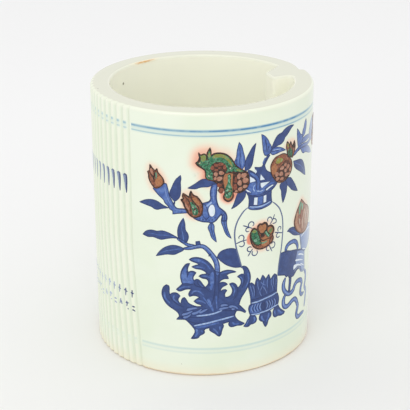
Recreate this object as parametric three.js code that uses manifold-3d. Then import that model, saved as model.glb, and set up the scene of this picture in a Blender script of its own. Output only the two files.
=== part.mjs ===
// Scroll-form brush pot of glazed porcelain, in millimetres, +Z up.
// The pot imitates a rolled scroll: a thick upright wall whose outer sheet stops at a relieved edge on one
// side, whose inner end stands proud inside the mouth, and whose front left is carved with a panel of reeds.
// The potter joins three clay parts with slip before firing: the wall, the inner scroll end and the floor.
// The origin is on the pot's axis at the height of the surface it stands on. -Y is the painted front.
import * as THREE from 'three';
import { mergeVertices } from 'three/addons/utils/BufferGeometryUtils.js';
import Module from 'manifold-3d';

const wasm = await Module();
wasm.setup();

// The whole pot
const HEIGHT = 140;
const OUTER_RADIUS = 57;
const WALL = 10.2;
const RIM_ROUNDING = 1.6;

// Foot ring and floor
const FOOT_HEIGHT = 3.5;
const FOOT_LEDGE = 4.5;
const FOOT_CHAMFER = 0.9;
const FLOOR_THICKNESS = 8;
const SLIP_GAP = 0.3;

// Reeded panel: angles are counter-clockwise from +X, and the panel runs clockwise from its start
const REED_START_ANGLE = -129.4;
const REED_COUNT = 12;
const REED_PITCH = 4.65;
const REED_DEPTH = 0.85;
const REED_BORDER = 0.9;
const GROOVE_FILL = 0.12;

// Outer edge of the scroll's sheet, where the ground beyond it is cut back
const SHEET_EDGE_ANGLE = 16;
const SHEET_EDGE_DEPTH = 2.4;
const SHEET_EDGE_FACE = 2.6;
const SHEET_EDGE_FADE = 18;
const SHEET_EDGE_HOLLOWNESS = 1.5;

// Inner end of the scroll: the corners of its plan, each at an angle and at a distance in from the wall
const END_FACE_ANGLE = 7.6;
const END_LIP_ANGLE = 2.2;
const END_LIP = 10.4;
const END_CROWN_ANGLE = 18.9;
const END_CROWN = 11.9;
const END_BACK_ANGLE = 30.5;
const END_LIP_CORNER = 1.8;
const END_CROWN_CORNER = 2.4;
const END_FILLET = 2.8;
const END_ROUNDING = 1.1;
const END_SEAT_ANGLE = 8;

// Fineness of the facets
const WALL_SEGMENTS = 120;
const REED_SEGMENTS = 32;
const ROUND_STEPS = 4;
const EDGE_STEPS = 20;
const EDGE_CROWDING = 1.6;
const CORNER_STEPS = 10;

const GLAZE_ROUGHNESS = 0.12;

// How far a cutting tool runs past what it cuts
const OVERRUN = 3;

const INNER_RADIUS = OUTER_RADIUS - WALL;
const FOOT_INNER_RADIUS = INNER_RADIUS - FOOT_LEDGE;
const FLOOR_TOP = FOOT_HEIGHT + FLOOR_THICKNESS;
const LUTED_RADIUS = INNER_RADIUS - SLIP_GAP;
const REED_ANGLE = THREE.MathUtils.radToDeg(REED_PITCH / OUTER_RADIUS);
// A reed's rounding is the circle that is REED_DEPTH lower where two reeds meet, half a pitch from the crest.
const REED_RADIUS = (REED_PITCH ** 2 / 4 + REED_DEPTH ** 2) / (2 * REED_DEPTH);
const SHEET_EDGE_FADE_LENGTH = THREE.MathUtils.degToRad(SHEET_EDGE_FADE) * OUTER_RADIUS;

// A closed geometry becomes a solid: its corners are merged by place, and its faces are kept as they are.
function toSolid(geometry) {
  const bare = geometry.clone();
  bare.deleteAttribute('normal');
  bare.deleteAttribute('uv');
  const merged = mergeVertices(bare);
  return new wasm.Manifold(new wasm.Mesh({
    numProp: 3,
    vertProperties: Float32Array.from(merged.attributes.position.array),
    triVerts: Uint32Array.from(merged.index.array),
  }));
}

function toGeometry(solid) {
  const mesh = solid.getMesh();
  const geometry = new THREE.BufferGeometry();
  geometry.setAttribute('position', new THREE.BufferAttribute(mesh.vertProperties, 3));
  geometry.setIndex(new THREE.BufferAttribute(mesh.triVerts, 1));
  geometry.computeVertexNormals();
  return geometry;
}

function polar(angle, radius) {
  const turn = THREE.MathUtils.degToRad(angle);
  return new THREE.Vector2(radius * Math.cos(turn), radius * Math.sin(turn));
}

// Turns a closed profile of radius and height about Z. The profile runs counter-clockwise.
function turned(profile, segments) {
  const lathe = new THREE.LatheGeometry(profile, segments);
  return toSolid(lathe.rotateX(Math.PI / 2));
}

// A plan outline raised along Z from one height to another
function raised(shape, bottom, top) {
  const solid = new THREE.ExtrudeGeometry(shape, {
    depth: top - bottom,
    bevelEnabled: false,
    curveSegments: EDGE_STEPS,
  });
  return toSolid(solid.translate(0, 0, bottom));
}

// Points of a quarter circle about (x, z), from one angle in degrees to another
function quarter(x, z, radius, from, to) {
  const points = [];
  for (let i = 0; i <= ROUND_STEPS; i += 1) {
    const point = polar(from + (to - from) * (i / ROUND_STEPS), radius);
    points.push(new THREE.Vector2(x + point.x, z + point.y));
  }
  return points;
}

// The wall as thrown: foot ring with its ledge, upright wall and rounded rim
function plainWall() {
  const rimCentre = HEIGHT - RIM_ROUNDING;
  return turned([
    new THREE.Vector2(FOOT_INNER_RADIUS + FOOT_CHAMFER, 0),
    new THREE.Vector2(OUTER_RADIUS - FOOT_CHAMFER, 0),
    new THREE.Vector2(OUTER_RADIUS, FOOT_CHAMFER),
    ...quarter(OUTER_RADIUS - RIM_ROUNDING, rimCentre, RIM_ROUNDING, 0, 90),
    ...quarter(INNER_RADIUS + RIM_ROUNDING, rimCentre, RIM_ROUNDING, 90, 180),
    new THREE.Vector2(INNER_RADIUS, FOOT_HEIGHT),
    new THREE.Vector2(FOOT_INNER_RADIUS, FOOT_HEIGHT),
    new THREE.Vector2(FOOT_INNER_RADIUS, FOOT_CHAMFER),
    new THREE.Vector2(FOOT_INNER_RADIUS + FOOT_CHAMFER, 0),
  ], WALL_SEGMENTS);
}

// The shallow pocket that the reeds stand in
function reedPocket() {
  const border = THREE.MathUtils.radToDeg(REED_BORDER / OUTER_RADIUS);
  const start = THREE.MathUtils.degToRad(REED_START_ANGLE + border);
  const end = THREE.MathUtils.degToRad(REED_START_ANGLE - REED_COUNT * REED_ANGLE - border);
  const pocket = new THREE.Shape();
  pocket.absarc(0, 0, OUTER_RADIUS - REED_DEPTH + GROOVE_FILL, start, end, true);
  pocket.absarc(0, 0, OUTER_RADIUS + OVERRUN, end, start, false);
  return raised(pocket, -OVERRUN, HEIGHT + OVERRUN);
}

// One upright reed, rounded over at the rim and chamfered at the foot like the wall it belongs to
function reed(index) {
  const angle = REED_START_ANGLE - (index + 0.5) * REED_ANGLE;
  const seat = polar(angle, OUTER_RADIUS - REED_RADIUS);
  const rod = turned([
    new THREE.Vector2(0, 0),
    new THREE.Vector2(REED_RADIUS - FOOT_CHAMFER, 0),
    new THREE.Vector2(REED_RADIUS, FOOT_CHAMFER),
    ...quarter(REED_RADIUS - RIM_ROUNDING, HEIGHT - RIM_ROUNDING, RIM_ROUNDING, 0, 90),
    new THREE.Vector2(0, HEIGHT),
  ], REED_SEGMENTS);
  return rod.rotate([0, 0, angle]).translate([seat.x, seat.y, 0]);
}

// How deep the ground beyond the sheet's edge is cut, at a distance along the outside from that edge
function groundDepth(along) {
  if (along < SHEET_EDGE_FACE) {
    return SHEET_EDGE_DEPTH * Math.sin((along / SHEET_EDGE_FACE) * (Math.PI / 2));
  }
  const left = (SHEET_EDGE_FADE_LENGTH - along) / (SHEET_EDGE_FADE_LENGTH - SHEET_EDGE_FACE);
  return SHEET_EDGE_DEPTH * left ** SHEET_EDGE_HOLLOWNESS;
}

// The tool that cuts the ground back beyond the edge of the outer sheet
function sheetEdgeCutter() {
  const outline = [];
  for (let i = 0; i <= EDGE_STEPS; i += 1) {
    const along = SHEET_EDGE_FADE_LENGTH * (i / EDGE_STEPS) ** EDGE_CROWDING;
    const angle = SHEET_EDGE_ANGLE + THREE.MathUtils.radToDeg(along / OUTER_RADIUS);
    outline.push(polar(angle, OUTER_RADIUS - groundDepth(along)));
  }
  outline.push(polar(SHEET_EDGE_ANGLE + SHEET_EDGE_FADE, OUTER_RADIUS + OVERRUN));
  outline.push(polar(SHEET_EDGE_ANGLE, OUTER_RADIUS + OVERRUN));
  return raised(new THREE.Shape(outline.reverse()), -OVERRUN, HEIGHT + OVERRUN);
}

// The reeds' round backs stay inside the wall's thickness, so joining them fills nothing else.
function wall() {
  let body = plainWall().subtract(reedPocket()).subtract(sheetEdgeCutter());
  for (let index = 0; index < REED_COUNT; index += 1) {
    body = body.add(reed(index));
  }
  return body;
}

// Continues a plan outline round one of its corners with an arc that is tangent to both sides
function roundCorner(plan, before, corner, after, radius) {
  const back = before.clone().sub(corner).normalize();
  const on = after.clone().sub(corner).normalize();
  const half = back.angleTo(on) / 2;
  const middle = back.clone().add(on).normalize();
  const centre = corner.clone().addScaledVector(middle, radius / Math.sin(half));
  const start = corner.clone().addScaledVector(back, radius / Math.tan(half)).sub(centre);
  const end = corner.clone().addScaledVector(on, radius / Math.tan(half)).sub(centre);
  plan.absarc(centre.x, centre.y, radius, start.angle(), end.angle(), back.cross(on) > 0);
}

// Plan of the inner end: a face that leaves the wall, the lip, the cut end of the sheet, the crown and a
// back that runs into the wall again. Its seat is sunk in the wall and trimmed off later.
function endOutline() {
  const seatStart = polar(END_FACE_ANGLE - END_SEAT_ANGLE, INNER_RADIUS);
  const face = polar(END_FACE_ANGLE, INNER_RADIUS);
  const lip = polar(END_LIP_ANGLE, INNER_RADIUS - END_LIP);
  const crown = polar(END_CROWN_ANGLE, INNER_RADIUS - END_CROWN);
  const back = polar(END_BACK_ANGLE, INNER_RADIUS);
  const seatEnd = polar(END_BACK_ANGLE + END_SEAT_ANGLE, INNER_RADIUS);
  const plan = new THREE.Shape();
  plan.absarc(0, 0, INNER_RADIUS + WALL / 2, seatEnd.angle(), seatStart.angle(), true);
  plan.lineTo(seatStart.x, seatStart.y);
  roundCorner(plan, seatStart, face, lip, END_FILLET);
  roundCorner(plan, face, lip, crown, END_LIP_CORNER);
  roundCorner(plan, lip, crown, back, END_CROWN_CORNER);
  roundCorner(plan, crown, back, seatEnd, END_FILLET);
  plan.lineTo(seatEnd.x, seatEnd.y);
  return plan;
}

// The inner end stands on the floor, is flush with the rim and is trimmed to the wall's inner face.
function scrollEnd() {
  const post = new THREE.ExtrudeGeometry(endOutline(), {
    depth: HEIGHT - END_ROUNDING,
    bevelEnabled: true,
    bevelThickness: END_ROUNDING,
    bevelSize: END_ROUNDING,
    bevelOffset: -END_ROUNDING,
    bevelSegments: ROUND_STEPS,
    curveSegments: CORNER_STEPS,
  });
  const hollow = turned([
    new THREE.Vector2(0, FLOOR_TOP),
    new THREE.Vector2(LUTED_RADIUS, FLOOR_TOP),
    new THREE.Vector2(LUTED_RADIUS, HEIGHT + OVERRUN),
    new THREE.Vector2(0, HEIGHT + OVERRUN),
  ], WALL_SEGMENTS);
  return toSolid(post).intersect(hollow);
}

// The floor rests on the foot ring's ledge.
function floor() {
  return turned([
    new THREE.Vector2(0, FOOT_HEIGHT),
    new THREE.Vector2(LUTED_RADIUS, FOOT_HEIGHT),
    new THREE.Vector2(LUTED_RADIUS, FLOOR_TOP),
    new THREE.Vector2(0, FLOOR_TOP),
  ], WALL_SEGMENTS);
}

// Clear glaze over white clay reads as a pale green-white with a wet gloss.
function glazed(color) {
  return new THREE.MeshStandardMaterial({ color, roughness: GLAZE_ROUGHNESS, metalness: 0 });
}

function piece(name, solid, material) {
  const mesh = new THREE.Mesh(toGeometry(solid), material);
  mesh.name = name;
  return mesh;
}

const pot = new THREE.Group();
pot.add(piece('scroll_wall', wall(), glazed(0xe9efe0)));
pot.add(piece('scroll_end', scrollEnd(), glazed(0xe6ead6)));
pot.add(piece('floor', floor(), glazed(0xe0e2cc)));

export default pot;
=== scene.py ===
"""A brush pot in the form of a rolled scroll: glazed porcelain, painted in cobalt and copper under the glaze.

Lengths are in metres, from the frame or from the named properties below. A place in the painting is written
in millimetres as (around, up): around runs along the outside from the middle of the painted front, to the
right when it is positive, and up is the height above the foot. A line is its places one after another, as
(around, up, around, up). Each painted thing is a function that draws its strokes on a flat sheet, which is
then laid on the wall.
"""
import math
from functools import partial

import bmesh
import bpy
from mathutils import Matrix, Vector
from mathutils.geometry import tessellate_polygon


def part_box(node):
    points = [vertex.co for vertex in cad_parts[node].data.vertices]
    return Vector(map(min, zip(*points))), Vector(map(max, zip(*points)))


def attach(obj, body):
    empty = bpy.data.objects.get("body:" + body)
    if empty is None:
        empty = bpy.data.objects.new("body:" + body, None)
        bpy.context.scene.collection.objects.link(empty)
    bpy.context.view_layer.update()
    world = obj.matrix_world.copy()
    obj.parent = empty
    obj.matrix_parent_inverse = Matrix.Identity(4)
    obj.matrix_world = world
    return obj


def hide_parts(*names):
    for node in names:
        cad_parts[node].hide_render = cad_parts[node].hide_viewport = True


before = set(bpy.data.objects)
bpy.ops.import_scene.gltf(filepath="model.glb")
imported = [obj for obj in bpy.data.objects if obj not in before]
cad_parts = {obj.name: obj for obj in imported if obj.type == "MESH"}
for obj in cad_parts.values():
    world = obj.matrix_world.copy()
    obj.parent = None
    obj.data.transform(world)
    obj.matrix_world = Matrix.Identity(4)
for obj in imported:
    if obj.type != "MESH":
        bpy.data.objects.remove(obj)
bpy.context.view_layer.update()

bl_info = {
    "name": "Scroll Brush Pot",
    "version": (1, 0, 0),
    "blender": (4, 5, 0),
    "location": "View3D > Sidebar > Brush Pot",
    "description": "Builds a scroll-form brush pot with its glaze, its painting and its stage",
    "category": "Add Mesh",
}

MM = 0.001
BODY = "root"
WALL_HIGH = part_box("scroll_wall")[1]
FLOOR_LOW, FLOOR_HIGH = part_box("floor")


def linear(code):
    """Turns an sRGB hex colour into the linear one that Blender works in"""
    parts = [int(code[i:i + 2], 16) / 255 for i in (0, 2, 4)]
    return tuple(p / 12.92 if p <= 0.04045 else ((p + 0.055) / 1.055) ** 2.4 for p in parts)


def length(name, description, millimetres):
    return bpy.props.FloatProperty(
        name=name, description=description, default=millimetres * MM, unit="LENGTH", precision=5)


def angle(name, description, degrees):
    return bpy.props.FloatProperty(
        name=name, description=description, default=math.radians(degrees), unit="ROTATION")


def colour(name, description, code):
    return bpy.props.FloatVectorProperty(
        name=name, description=description, default=linear(code), subtype="COLOR", size=3, min=0, max=1)


class WallSizes(bpy.types.PropertyGroup):
    """The rolled wall, its rim and its foot"""
    height: length("Height", "Foot to rim", WALL_HIGH[2] / MM)
    radius: length("Radius", "Axis to the smooth outside of the clay", WALL_HIGH[0] / MM)
    thickness: length("Thickness", "Of the wall", 10.2)
    rim_rounding: length("Rim rounding", "On the outer edge of the rim", 1.6)
    mouth_rounding: length("Mouth rounding", "On the inner edge of the rim", 1.4)
    foot_chamfer: length("Foot chamfer", "On both edges of the foot ring", 0.9)
    foot_ledge: length("Foot ledge", "From the wall's inner face to the foot ring's", 4.5)
    ledge_height: length("Ledge height", "Of the hidden flat inside the floor's edge", 8.0)
    coat: length("Coat", "Room kept for the painting below the size of the clay", 0.16)


class ReedSizes(bpy.types.PropertyGroup):
    """The panel of upright reeds"""
    start: length("Start", "Where the first reed starts, around the wall", -39.2)
    pitch: length("Pitch", "From crest to crest", 4.65)
    depth: length("Depth", "From crest to where two reeds meet", 0.85)
    border: length("Border", "From the last groove to the smooth wall", 1.8)
    fill: length("Glaze fill", "How much glaze the grooves hold", 0.2)
    lean: length("Lean", "How far the reeds lean to the right at the foot", 4.6)
    lean_height: length("Lean height", "Height below which they lean", 68.0)
    count: bpy.props.IntProperty(name="Count", description="Number of reeds", default=12, min=1)


class ScrollSizes(bpy.types.PropertyGroup):
    """The outer edge of the sheet and the scroll's inner end"""
    edge_angle: angle("Edge angle", "From the right-hand side to the sheet's edge", 16)
    edge_depth: length("Edge depth", "How far the ground is cut back", 2.4)
    edge_face: length("Edge face", "Over which the edge falls", 3.4)
    edge_round: length("Edge rounding", "Of the sheet's edge in plan", 2.3)
    edge_fade: angle("Edge fade", "Over which the ground comes back", 18)
    face_angle: angle("Face angle", "Where the inner end leaves the wall", 7.6)
    lip_angle: angle("Lip angle", "Of the lip's corner", 2.2)
    lip: length("Lip", "How far the lip stands in from the wall", 10.4)
    crown_angle: angle("Crown angle", "Of the crown's corner", 18.9)
    crown: length("Crown", "How far the crown stands in from the wall", 11.9)
    back_angle: angle("Back angle", "Where the inner end joins the wall again", 30.5)
    lip_corner: length("Lip corner", "Its rounding in plan", 1.9)
    crown_corner: length("Crown corner", "Its rounding in plan", 2.4)
    fillet: length("Fillet", "Where the inner end meets the wall", 2.8)


class GlazeTones(bpy.types.PropertyGroup):
    """Colours of the clear glaze where it lies even, thick or thin, with painted light and shade on crests,
    grooves, edges and inside
    """
    wall: colour("Wall", "Glaze on the outside", "EBF2E1")
    pool: colour("Pool", "Thick glaze in wide clouds", "DEEACE")
    # Groove: thick glaze pooled between the reeds, also painted shade down each groove
    groove: colour("Groove", "Thick glaze between the reeds", "DDE6D0")
    # Inside: the yellow of thick glaze, painted brighter than the outside as painted light in the hollow
    inside: colour("Inside", "Thick glaze inside, a little yellow", "FDFDEE")
    # Thin: the cream of thin glaze, also a painted highlight on the reeds' crests and the rim's outer edge
    thin: colour("Thin", "Thin glaze on crests and edges", "F2F2E0")
    rim: colour("Rim", "The flat of the rim, a warmer grey", "DCDDCA")
    foot: colour("Foot", "Thin glaze above the foot, a little yellow", "F3EBD2")
    burnt: colour("Burnt", "Clay burnt orange at the foot", "ECCBA4")
    flaw: colour("Flaw", "Clay burnt orange in the rim's flaw", "D8983C")
    clay: colour("Clay", "Bare clay under the foot", "DDD2C0")
    iron: colour("Iron", "Iron specks in the clay", "5C4C38")


class PaintTones(bpy.types.PropertyGroup):
    """Colours of the painting under the glaze"""
    band: colour("Band", "Lines round the rim and the foot", "5088B6")
    faint: colour("Faint band", "Lines that the glaze has dissolved", "BCD6D6")
    leaf: colour("Cobalt leaf", "Full brush, on leaves and grounds", "2F457C")
    wash: colour("Cobalt wash", "Inside stems, curls and feet", "4868AE")
    line: colour("Cobalt line", "Outlines and veins", "223466")
    light: colour("Reserve", "Lines left light in a dark ground", "96B2E0")
    haze: colour("Haze", "Thin cobalt", "A9BAD8")
    veil: colour("Veil", "Windows in a dark ground", "E0EAF4")
    copper: colour("Copper", "Copper red that fired brown", "8E5236")
    amber: colour("Copper amber", "Copper that fired orange", "AE7448")
    yellow: colour("Copper yellow", "Copper that fired yellow-green", "929436")
    green: colour("Copper green", "Copper that fired green", "257650")
    verdigris: colour("Verdigris", "Copper that fired pale green", "86B89A")
    outline: colour("Copper outline", "Dark outlines of fruit and flowers", "1C0E0E")
    russet: colour("Russet", "Dark seeds", "8A4630")
    seed: colour("Copper seed", "Pale seeds", "B27C66")
    dust: colour("Copper dust", "Thin copper", "C8B2A0")
    salmon: colour("Salmon", "Copper that bled into the glaze", "E68E74")
    blush: colour("Blush", "The edge of what bled", "F5D0B8")


class StageSettings(bpy.types.PropertyGroup):
    """Camera, lamps and floor"""
    distance: length("Distance", "Camera to the point it looks at", 683.7)
    aim_right: length("Aim right", "Of the point it looks at", 1.26)
    aim_up: length("Aim up", "Of the point it looks at", 70.92)
    heading: angle("Heading", "How far the camera stands to the left of the middle of the front", 1.0)
    pitch: angle("Pitch", "How far the camera looks down", 21.868)
    roll: angle("Roll", "Turn about the line of sight", -0.279)
    lens: bpy.props.FloatProperty(name="Lens", description="Focal length in mm", default=113.54)
    sensor: bpy.props.FloatProperty(name="Sensor", description="Sensor width in mm", default=36.0)
    floor: colour("Floor", "Pale paper that the pot stands on, at its palest", "F6F6F6")
    # Painted shade: the paper darker in front of the pot and to its right
    floor_shade: colour("Near floor", "The paper in front of the pot and to its right", "EDEDEB")
    sky: bpy.props.FloatProperty(name="Sky", description="Strength of the even light", default=0.93)
    key: bpy.props.FloatProperty(name="Key", description="Power of the soft lamp in front, in W", default=3.4)


SETTINGS = {
    "pot_wall": WallSizes,
    "pot_reeds": ReedSizes,
    "pot_scroll": ScrollSizes,
    "pot_glaze": GlazeTones,
    "pot_paint": PaintTones,
    "pot_stage": StageSettings,
}


# Nodes

# Nodes that are often used: their kind and their settings
SUM = ("ShaderNodeMath", {"operation": "ADD"})
DIFFERENCE = ("ShaderNodeMath", {"operation": "SUBTRACT"})
PRODUCT = ("ShaderNodeMath", {"operation": "MULTIPLY"})
RATIO = ("ShaderNodeMath", {"operation": "DIVIDE"})
BLEND = ("ShaderNodeMix", {"data_type": "RGBA"})
FADE = ("ShaderNodeMapRange", {"interpolation_type": "SMOOTHSTEP"})


def new_node(tree, kind, *values, named=None, **settings):
    """Adds a node with its settings. Values go to its visible inputs in order and named ones by name, and a
    list of them to one input that takes many. A node given as a value gives its first visible output."""
    if isinstance(kind, tuple):
        kind, settings = kind
    node = tree.nodes.new(kind)
    for setting, value in settings.items():
        setattr(node, setting, value)
    pairs = list(zip([socket for socket in node.inputs if socket.enabled], values))
    pairs += [(node.inputs[name], value) for name, value in (named or {}).items()]
    for socket, given in pairs:
        for value in given if isinstance(given, list) else [given]:
            if isinstance(value, bpy.types.Node):
                value = shown(value)
            if isinstance(value, bpy.types.NodeSocket):
                tree.links.new(value, socket)
            else:
                socket.default_value = (*value, 1) if socket.type == "RGBA" else value
    return node


def shown(node):
    """The first visible output of a node"""
    return next(output for output in node.outputs if output.enabled)


def placed(name, data):
    made = bpy.data.objects.new(name, data)
    bpy.context.scene.collection.objects.link(made)
    return made


def new_tree(name, inputs):
    """A Geometry Nodes tree with named inputs and one geometry output, the function that adds its nodes, and
    the outputs that give its inputs"""
    tree = bpy.data.node_groups.new(name, "GeometryNodeTree")
    for label, kind in inputs.items():
        tree.interface.new_socket(name=label, in_out="INPUT", socket_type=kind)
    tree.interface.new_socket(name="Geometry", in_out="OUTPUT", socket_type="NodeSocketGeometry")
    return tree, partial(new_node, tree), tree.nodes.new("NodeGroupInput").outputs


def grown(name, tree, source, values):
    """Runs a tree on a source object and returns the result as a plain mesh object at the origin"""
    modifier = source.modifiers.new(name, "NODES")
    modifier.node_group = tree
    sockets = {item.name: item.identifier for item in tree.interface.items_tree if item.in_out == "INPUT"}
    for label, value in values.items():
        modifier[sockets[label]] = value
    bpy.context.view_layer.update()
    evaluated = source.evaluated_get(bpy.context.evaluated_depsgraph_get())
    mesh = bpy.data.meshes.new_from_object(evaluated)
    mesh.name = name
    bpy.data.objects.remove(source)
    drop_unused_finishes(mesh)
    return placed(name, mesh)


def drop_unused_finishes(mesh):
    numbers = [face.material_index for face in mesh.polygons]
    used = sorted(set(numbers))
    finishes = [mesh.materials[i] for i in used]
    mesh.materials.clear()
    for finish in finishes:
        mesh.materials.append(finish)
    mesh.polygons.foreach_set("material_index", [used.index(i) for i in numbers])


def settle(piece, slot, *nodes):
    """Rides a finished piece on the pot's body and hides the CAD nodes that it stands for. The slot, the name
    of its finish, is not used.
    """
    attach(piece, BODY)
    if nodes:
        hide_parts(*nodes)


# Plans of the wall

AROUND_POINTS = 2000
PLAN_STEP = 0.5 * MM
CORNER_STEPS = 8
ROUND_STEPS = 7
FLAT_RING = 0.4 * MM


def groove(around):
    """How deep the reeded panel lies below the smooth wall"""
    reeds = bpy.context.scene.pot_reeds
    crest = (reeds.pitch ** 2 / 4 + reeds.depth ** 2) / (2 * reeds.depth)
    floor = reeds.depth - reeds.fill
    place = (reeds.start - around) / reeds.pitch
    if 0 <= place < reeds.count:
        across = (place % 1 - 0.5) * reeds.pitch
        return min(floor, crest - math.sqrt(crest ** 2 - across ** 2))
    past = min(abs(around - reeds.start), abs(around - reeds.start + reeds.count * reeds.pitch))
    left = max(0.0, 1 - past / reeds.border)
    return floor * left * left


LEAN_POWER = 1.1


def lean_nodes(add, z, lean, lean_height):
    """How far the reeds lean to the right at a height, in nodes of a material or of a Geometry Nodes tree"""
    left = add(DIFFERENCE, 1.0, add(RATIO, z, lean_height))
    left = add("ShaderNodeMath", left, 0.0, operation="MAXIMUM")
    left = add("ShaderNodeMath", left, LEAN_POWER, operation="POWER")
    return add(PRODUCT, left, lean)


def turn_nodes(add, x, y):
    """How far round a place lies from the middle of the front"""
    return add("ShaderNodeMath", x, add(PRODUCT, y, -1.0), operation="ARCTAN2")


def sheet_edge(around):
    """How deep the ground is cut back beyond the edge of the outer sheet"""
    wall = bpy.context.scene.pot_wall
    scroll = bpy.context.scene.pot_scroll
    along = around - (scroll.edge_angle + math.pi / 2) * wall.radius
    fade = scroll.edge_fade * wall.radius
    if not 0 < along < fade:
        return 0.0
    if along < scroll.edge_face:
        slope = 2 * math.atan(scroll.edge_depth / scroll.edge_face)
        hollow = scroll.edge_face / math.sin(slope) - scroll.edge_round
        if along < scroll.edge_round * math.sin(slope):
            return scroll.edge_round - math.sqrt(scroll.edge_round ** 2 - along ** 2)
        left = scroll.edge_face - along
        return scroll.edge_depth - hollow + math.sqrt(hollow ** 2 - left ** 2)
    return scroll.edge_depth * ((fade - along) / (fade - scroll.edge_face)) ** 1.5


def polar(turn, radius):
    return Vector((radius * math.cos(turn), radius * math.sin(turn)))


def ring_plan(radius):
    return [polar(math.tau * i / AROUND_POINTS, radius) for i in range(AROUND_POINTS)]


def outer_plan():
    """The outside in plan, starting at the back and going round by the left, the front and the right"""
    wall = bpy.context.scene.pot_wall
    points = []
    for i in range(AROUND_POINTS):
        turn = (i / AROUND_POINTS - 0.5) * math.tau
        around = turn * wall.radius
        reach = wall.radius - wall.coat - groove(around) - sheet_edge(around)
        points.append(polar(turn - math.pi / 2, reach))
    return points


def round_corner(before, corner, after, radius):
    """Points of an arc that is tangent to both sides of a corner"""
    back = (before - corner).normalized()
    on = (after - corner).normalized()
    half = back.angle(on) / 2
    centre = corner + (back + on).normalized() * (radius / math.sin(half))
    start = corner + back * (radius / math.tan(half)) - centre
    sweep = math.copysign(math.pi - 2 * half, -back.cross(on))
    return [centre + Matrix.Rotation(sweep * i / CORNER_STEPS, 2) @ start for i in range(CORNER_STEPS + 1)]


def mouth_plan():
    """The hollow in plan: the round of the mouth, broken by the scroll's inner end"""
    wall = bpy.context.scene.pot_wall
    scroll = bpy.context.scene.pot_scroll
    radius = wall.radius - wall.thickness
    face = polar(scroll.face_angle, radius)
    lip = polar(scroll.lip_angle, radius - scroll.lip)
    crown = polar(scroll.crown_angle, radius - scroll.crown)
    back = polar(scroll.back_angle, radius)
    before = face + Vector((face.y, -face.x))
    after = back + Vector((-back.y, back.x))
    bump = round_corner(before, face, lip, scroll.fillet)
    bump += round_corner(face, lip, crown, scroll.lip_corner)
    bump += round_corner(lip, crown, back, scroll.crown_corner)
    bump += round_corner(crown, back, after, scroll.fillet)
    start = math.atan2(bump[-1].y, bump[-1].x)
    sweep = math.atan2(bump[0].y, bump[0].x) % math.tau - start
    if sweep < math.pi:
        sweep += math.tau
    steps = round(sweep * radius / PLAN_STEP)
    return bump + [polar(start + sweep * i / steps, radius) for i in range(1, steps)]


def rounded_edge(inward, top, radius):
    """Profile points of a rounded edge, from the upright face over to the flat and a little along it"""
    points = []
    for i in range(ROUND_STEPS + 1):
        turn = math.pi / 2 * i / ROUND_STEPS
        points.append((inward * radius * (1 - math.cos(turn)), top - radius * (1 - math.sin(turn))))
    return points + [(inward * (radius + FLAT_RING), top)]


# The wall

WALL_RINGS = ("Outer", "Mouth", "Foot")
WALL_LENGTHS = ("Height", "Ledge", "Radius", "Lean", "Lean height", "Panel start", "Panel end")
LEAN_FADE = 25 * MM
LEAN_ROWS = 8
WELD = 0.002 * MM
SMOOTH_LIMIT = math.radians(35)


def curve_object(name, points, cyclic):
    """A poly curve for a tree to sweep along or around"""
    data = bpy.data.curves.new(name, "CURVE")
    data.dimensions = "3D"
    spline = data.splines.new("POLY")
    spline.points.add(len(points) - 1)
    for place, point in zip(spline.points, points):
        place.co = (point[0], point[1], 0, 1)
    spline.use_cyclic_u = cyclic
    return placed(name, data)


def profile_object(name, points):
    """A profile of inward and upward distances. Swept round a plan that runs anticlockwise, a curve's own X
    points outwards and its Y downwards, so both are turned over here."""
    return curve_object(name, [(-inward, -up) for inward, up in points], False)


def leaning_reeds(add, given, shell):
    """Turns the reeds a little about the axis towards the foot, so that they lean and the wall gives way"""
    position = add("GeometryNodeInputPosition")
    x, y, z = add("ShaderNodeSeparateXYZ", position).outputs
    start = given["Panel start"]
    end = given["Panel end"]
    around = add(PRODUCT, turn_nodes(add, x, y), given["Radius"])
    right = add(FADE, around, start, add(SUM, start, LEAN_FADE), 1.0, 0.0)
    left = add(FADE, around, add(DIFFERENCE, end, LEAN_FADE), end)
    lean = lean_nodes(add, z, given["Lean"], given["Lean height"])
    turn = add(PRODUCT, add(RATIO, lean, given["Radius"]), add(PRODUCT, left, right))
    turned = add("ShaderNodeVectorRotate", position, named={"Angle": turn}, rotation_type="Z_AXIS")
    return add("GeometryNodeSetPosition", shell, named={"Position": turned})


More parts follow.
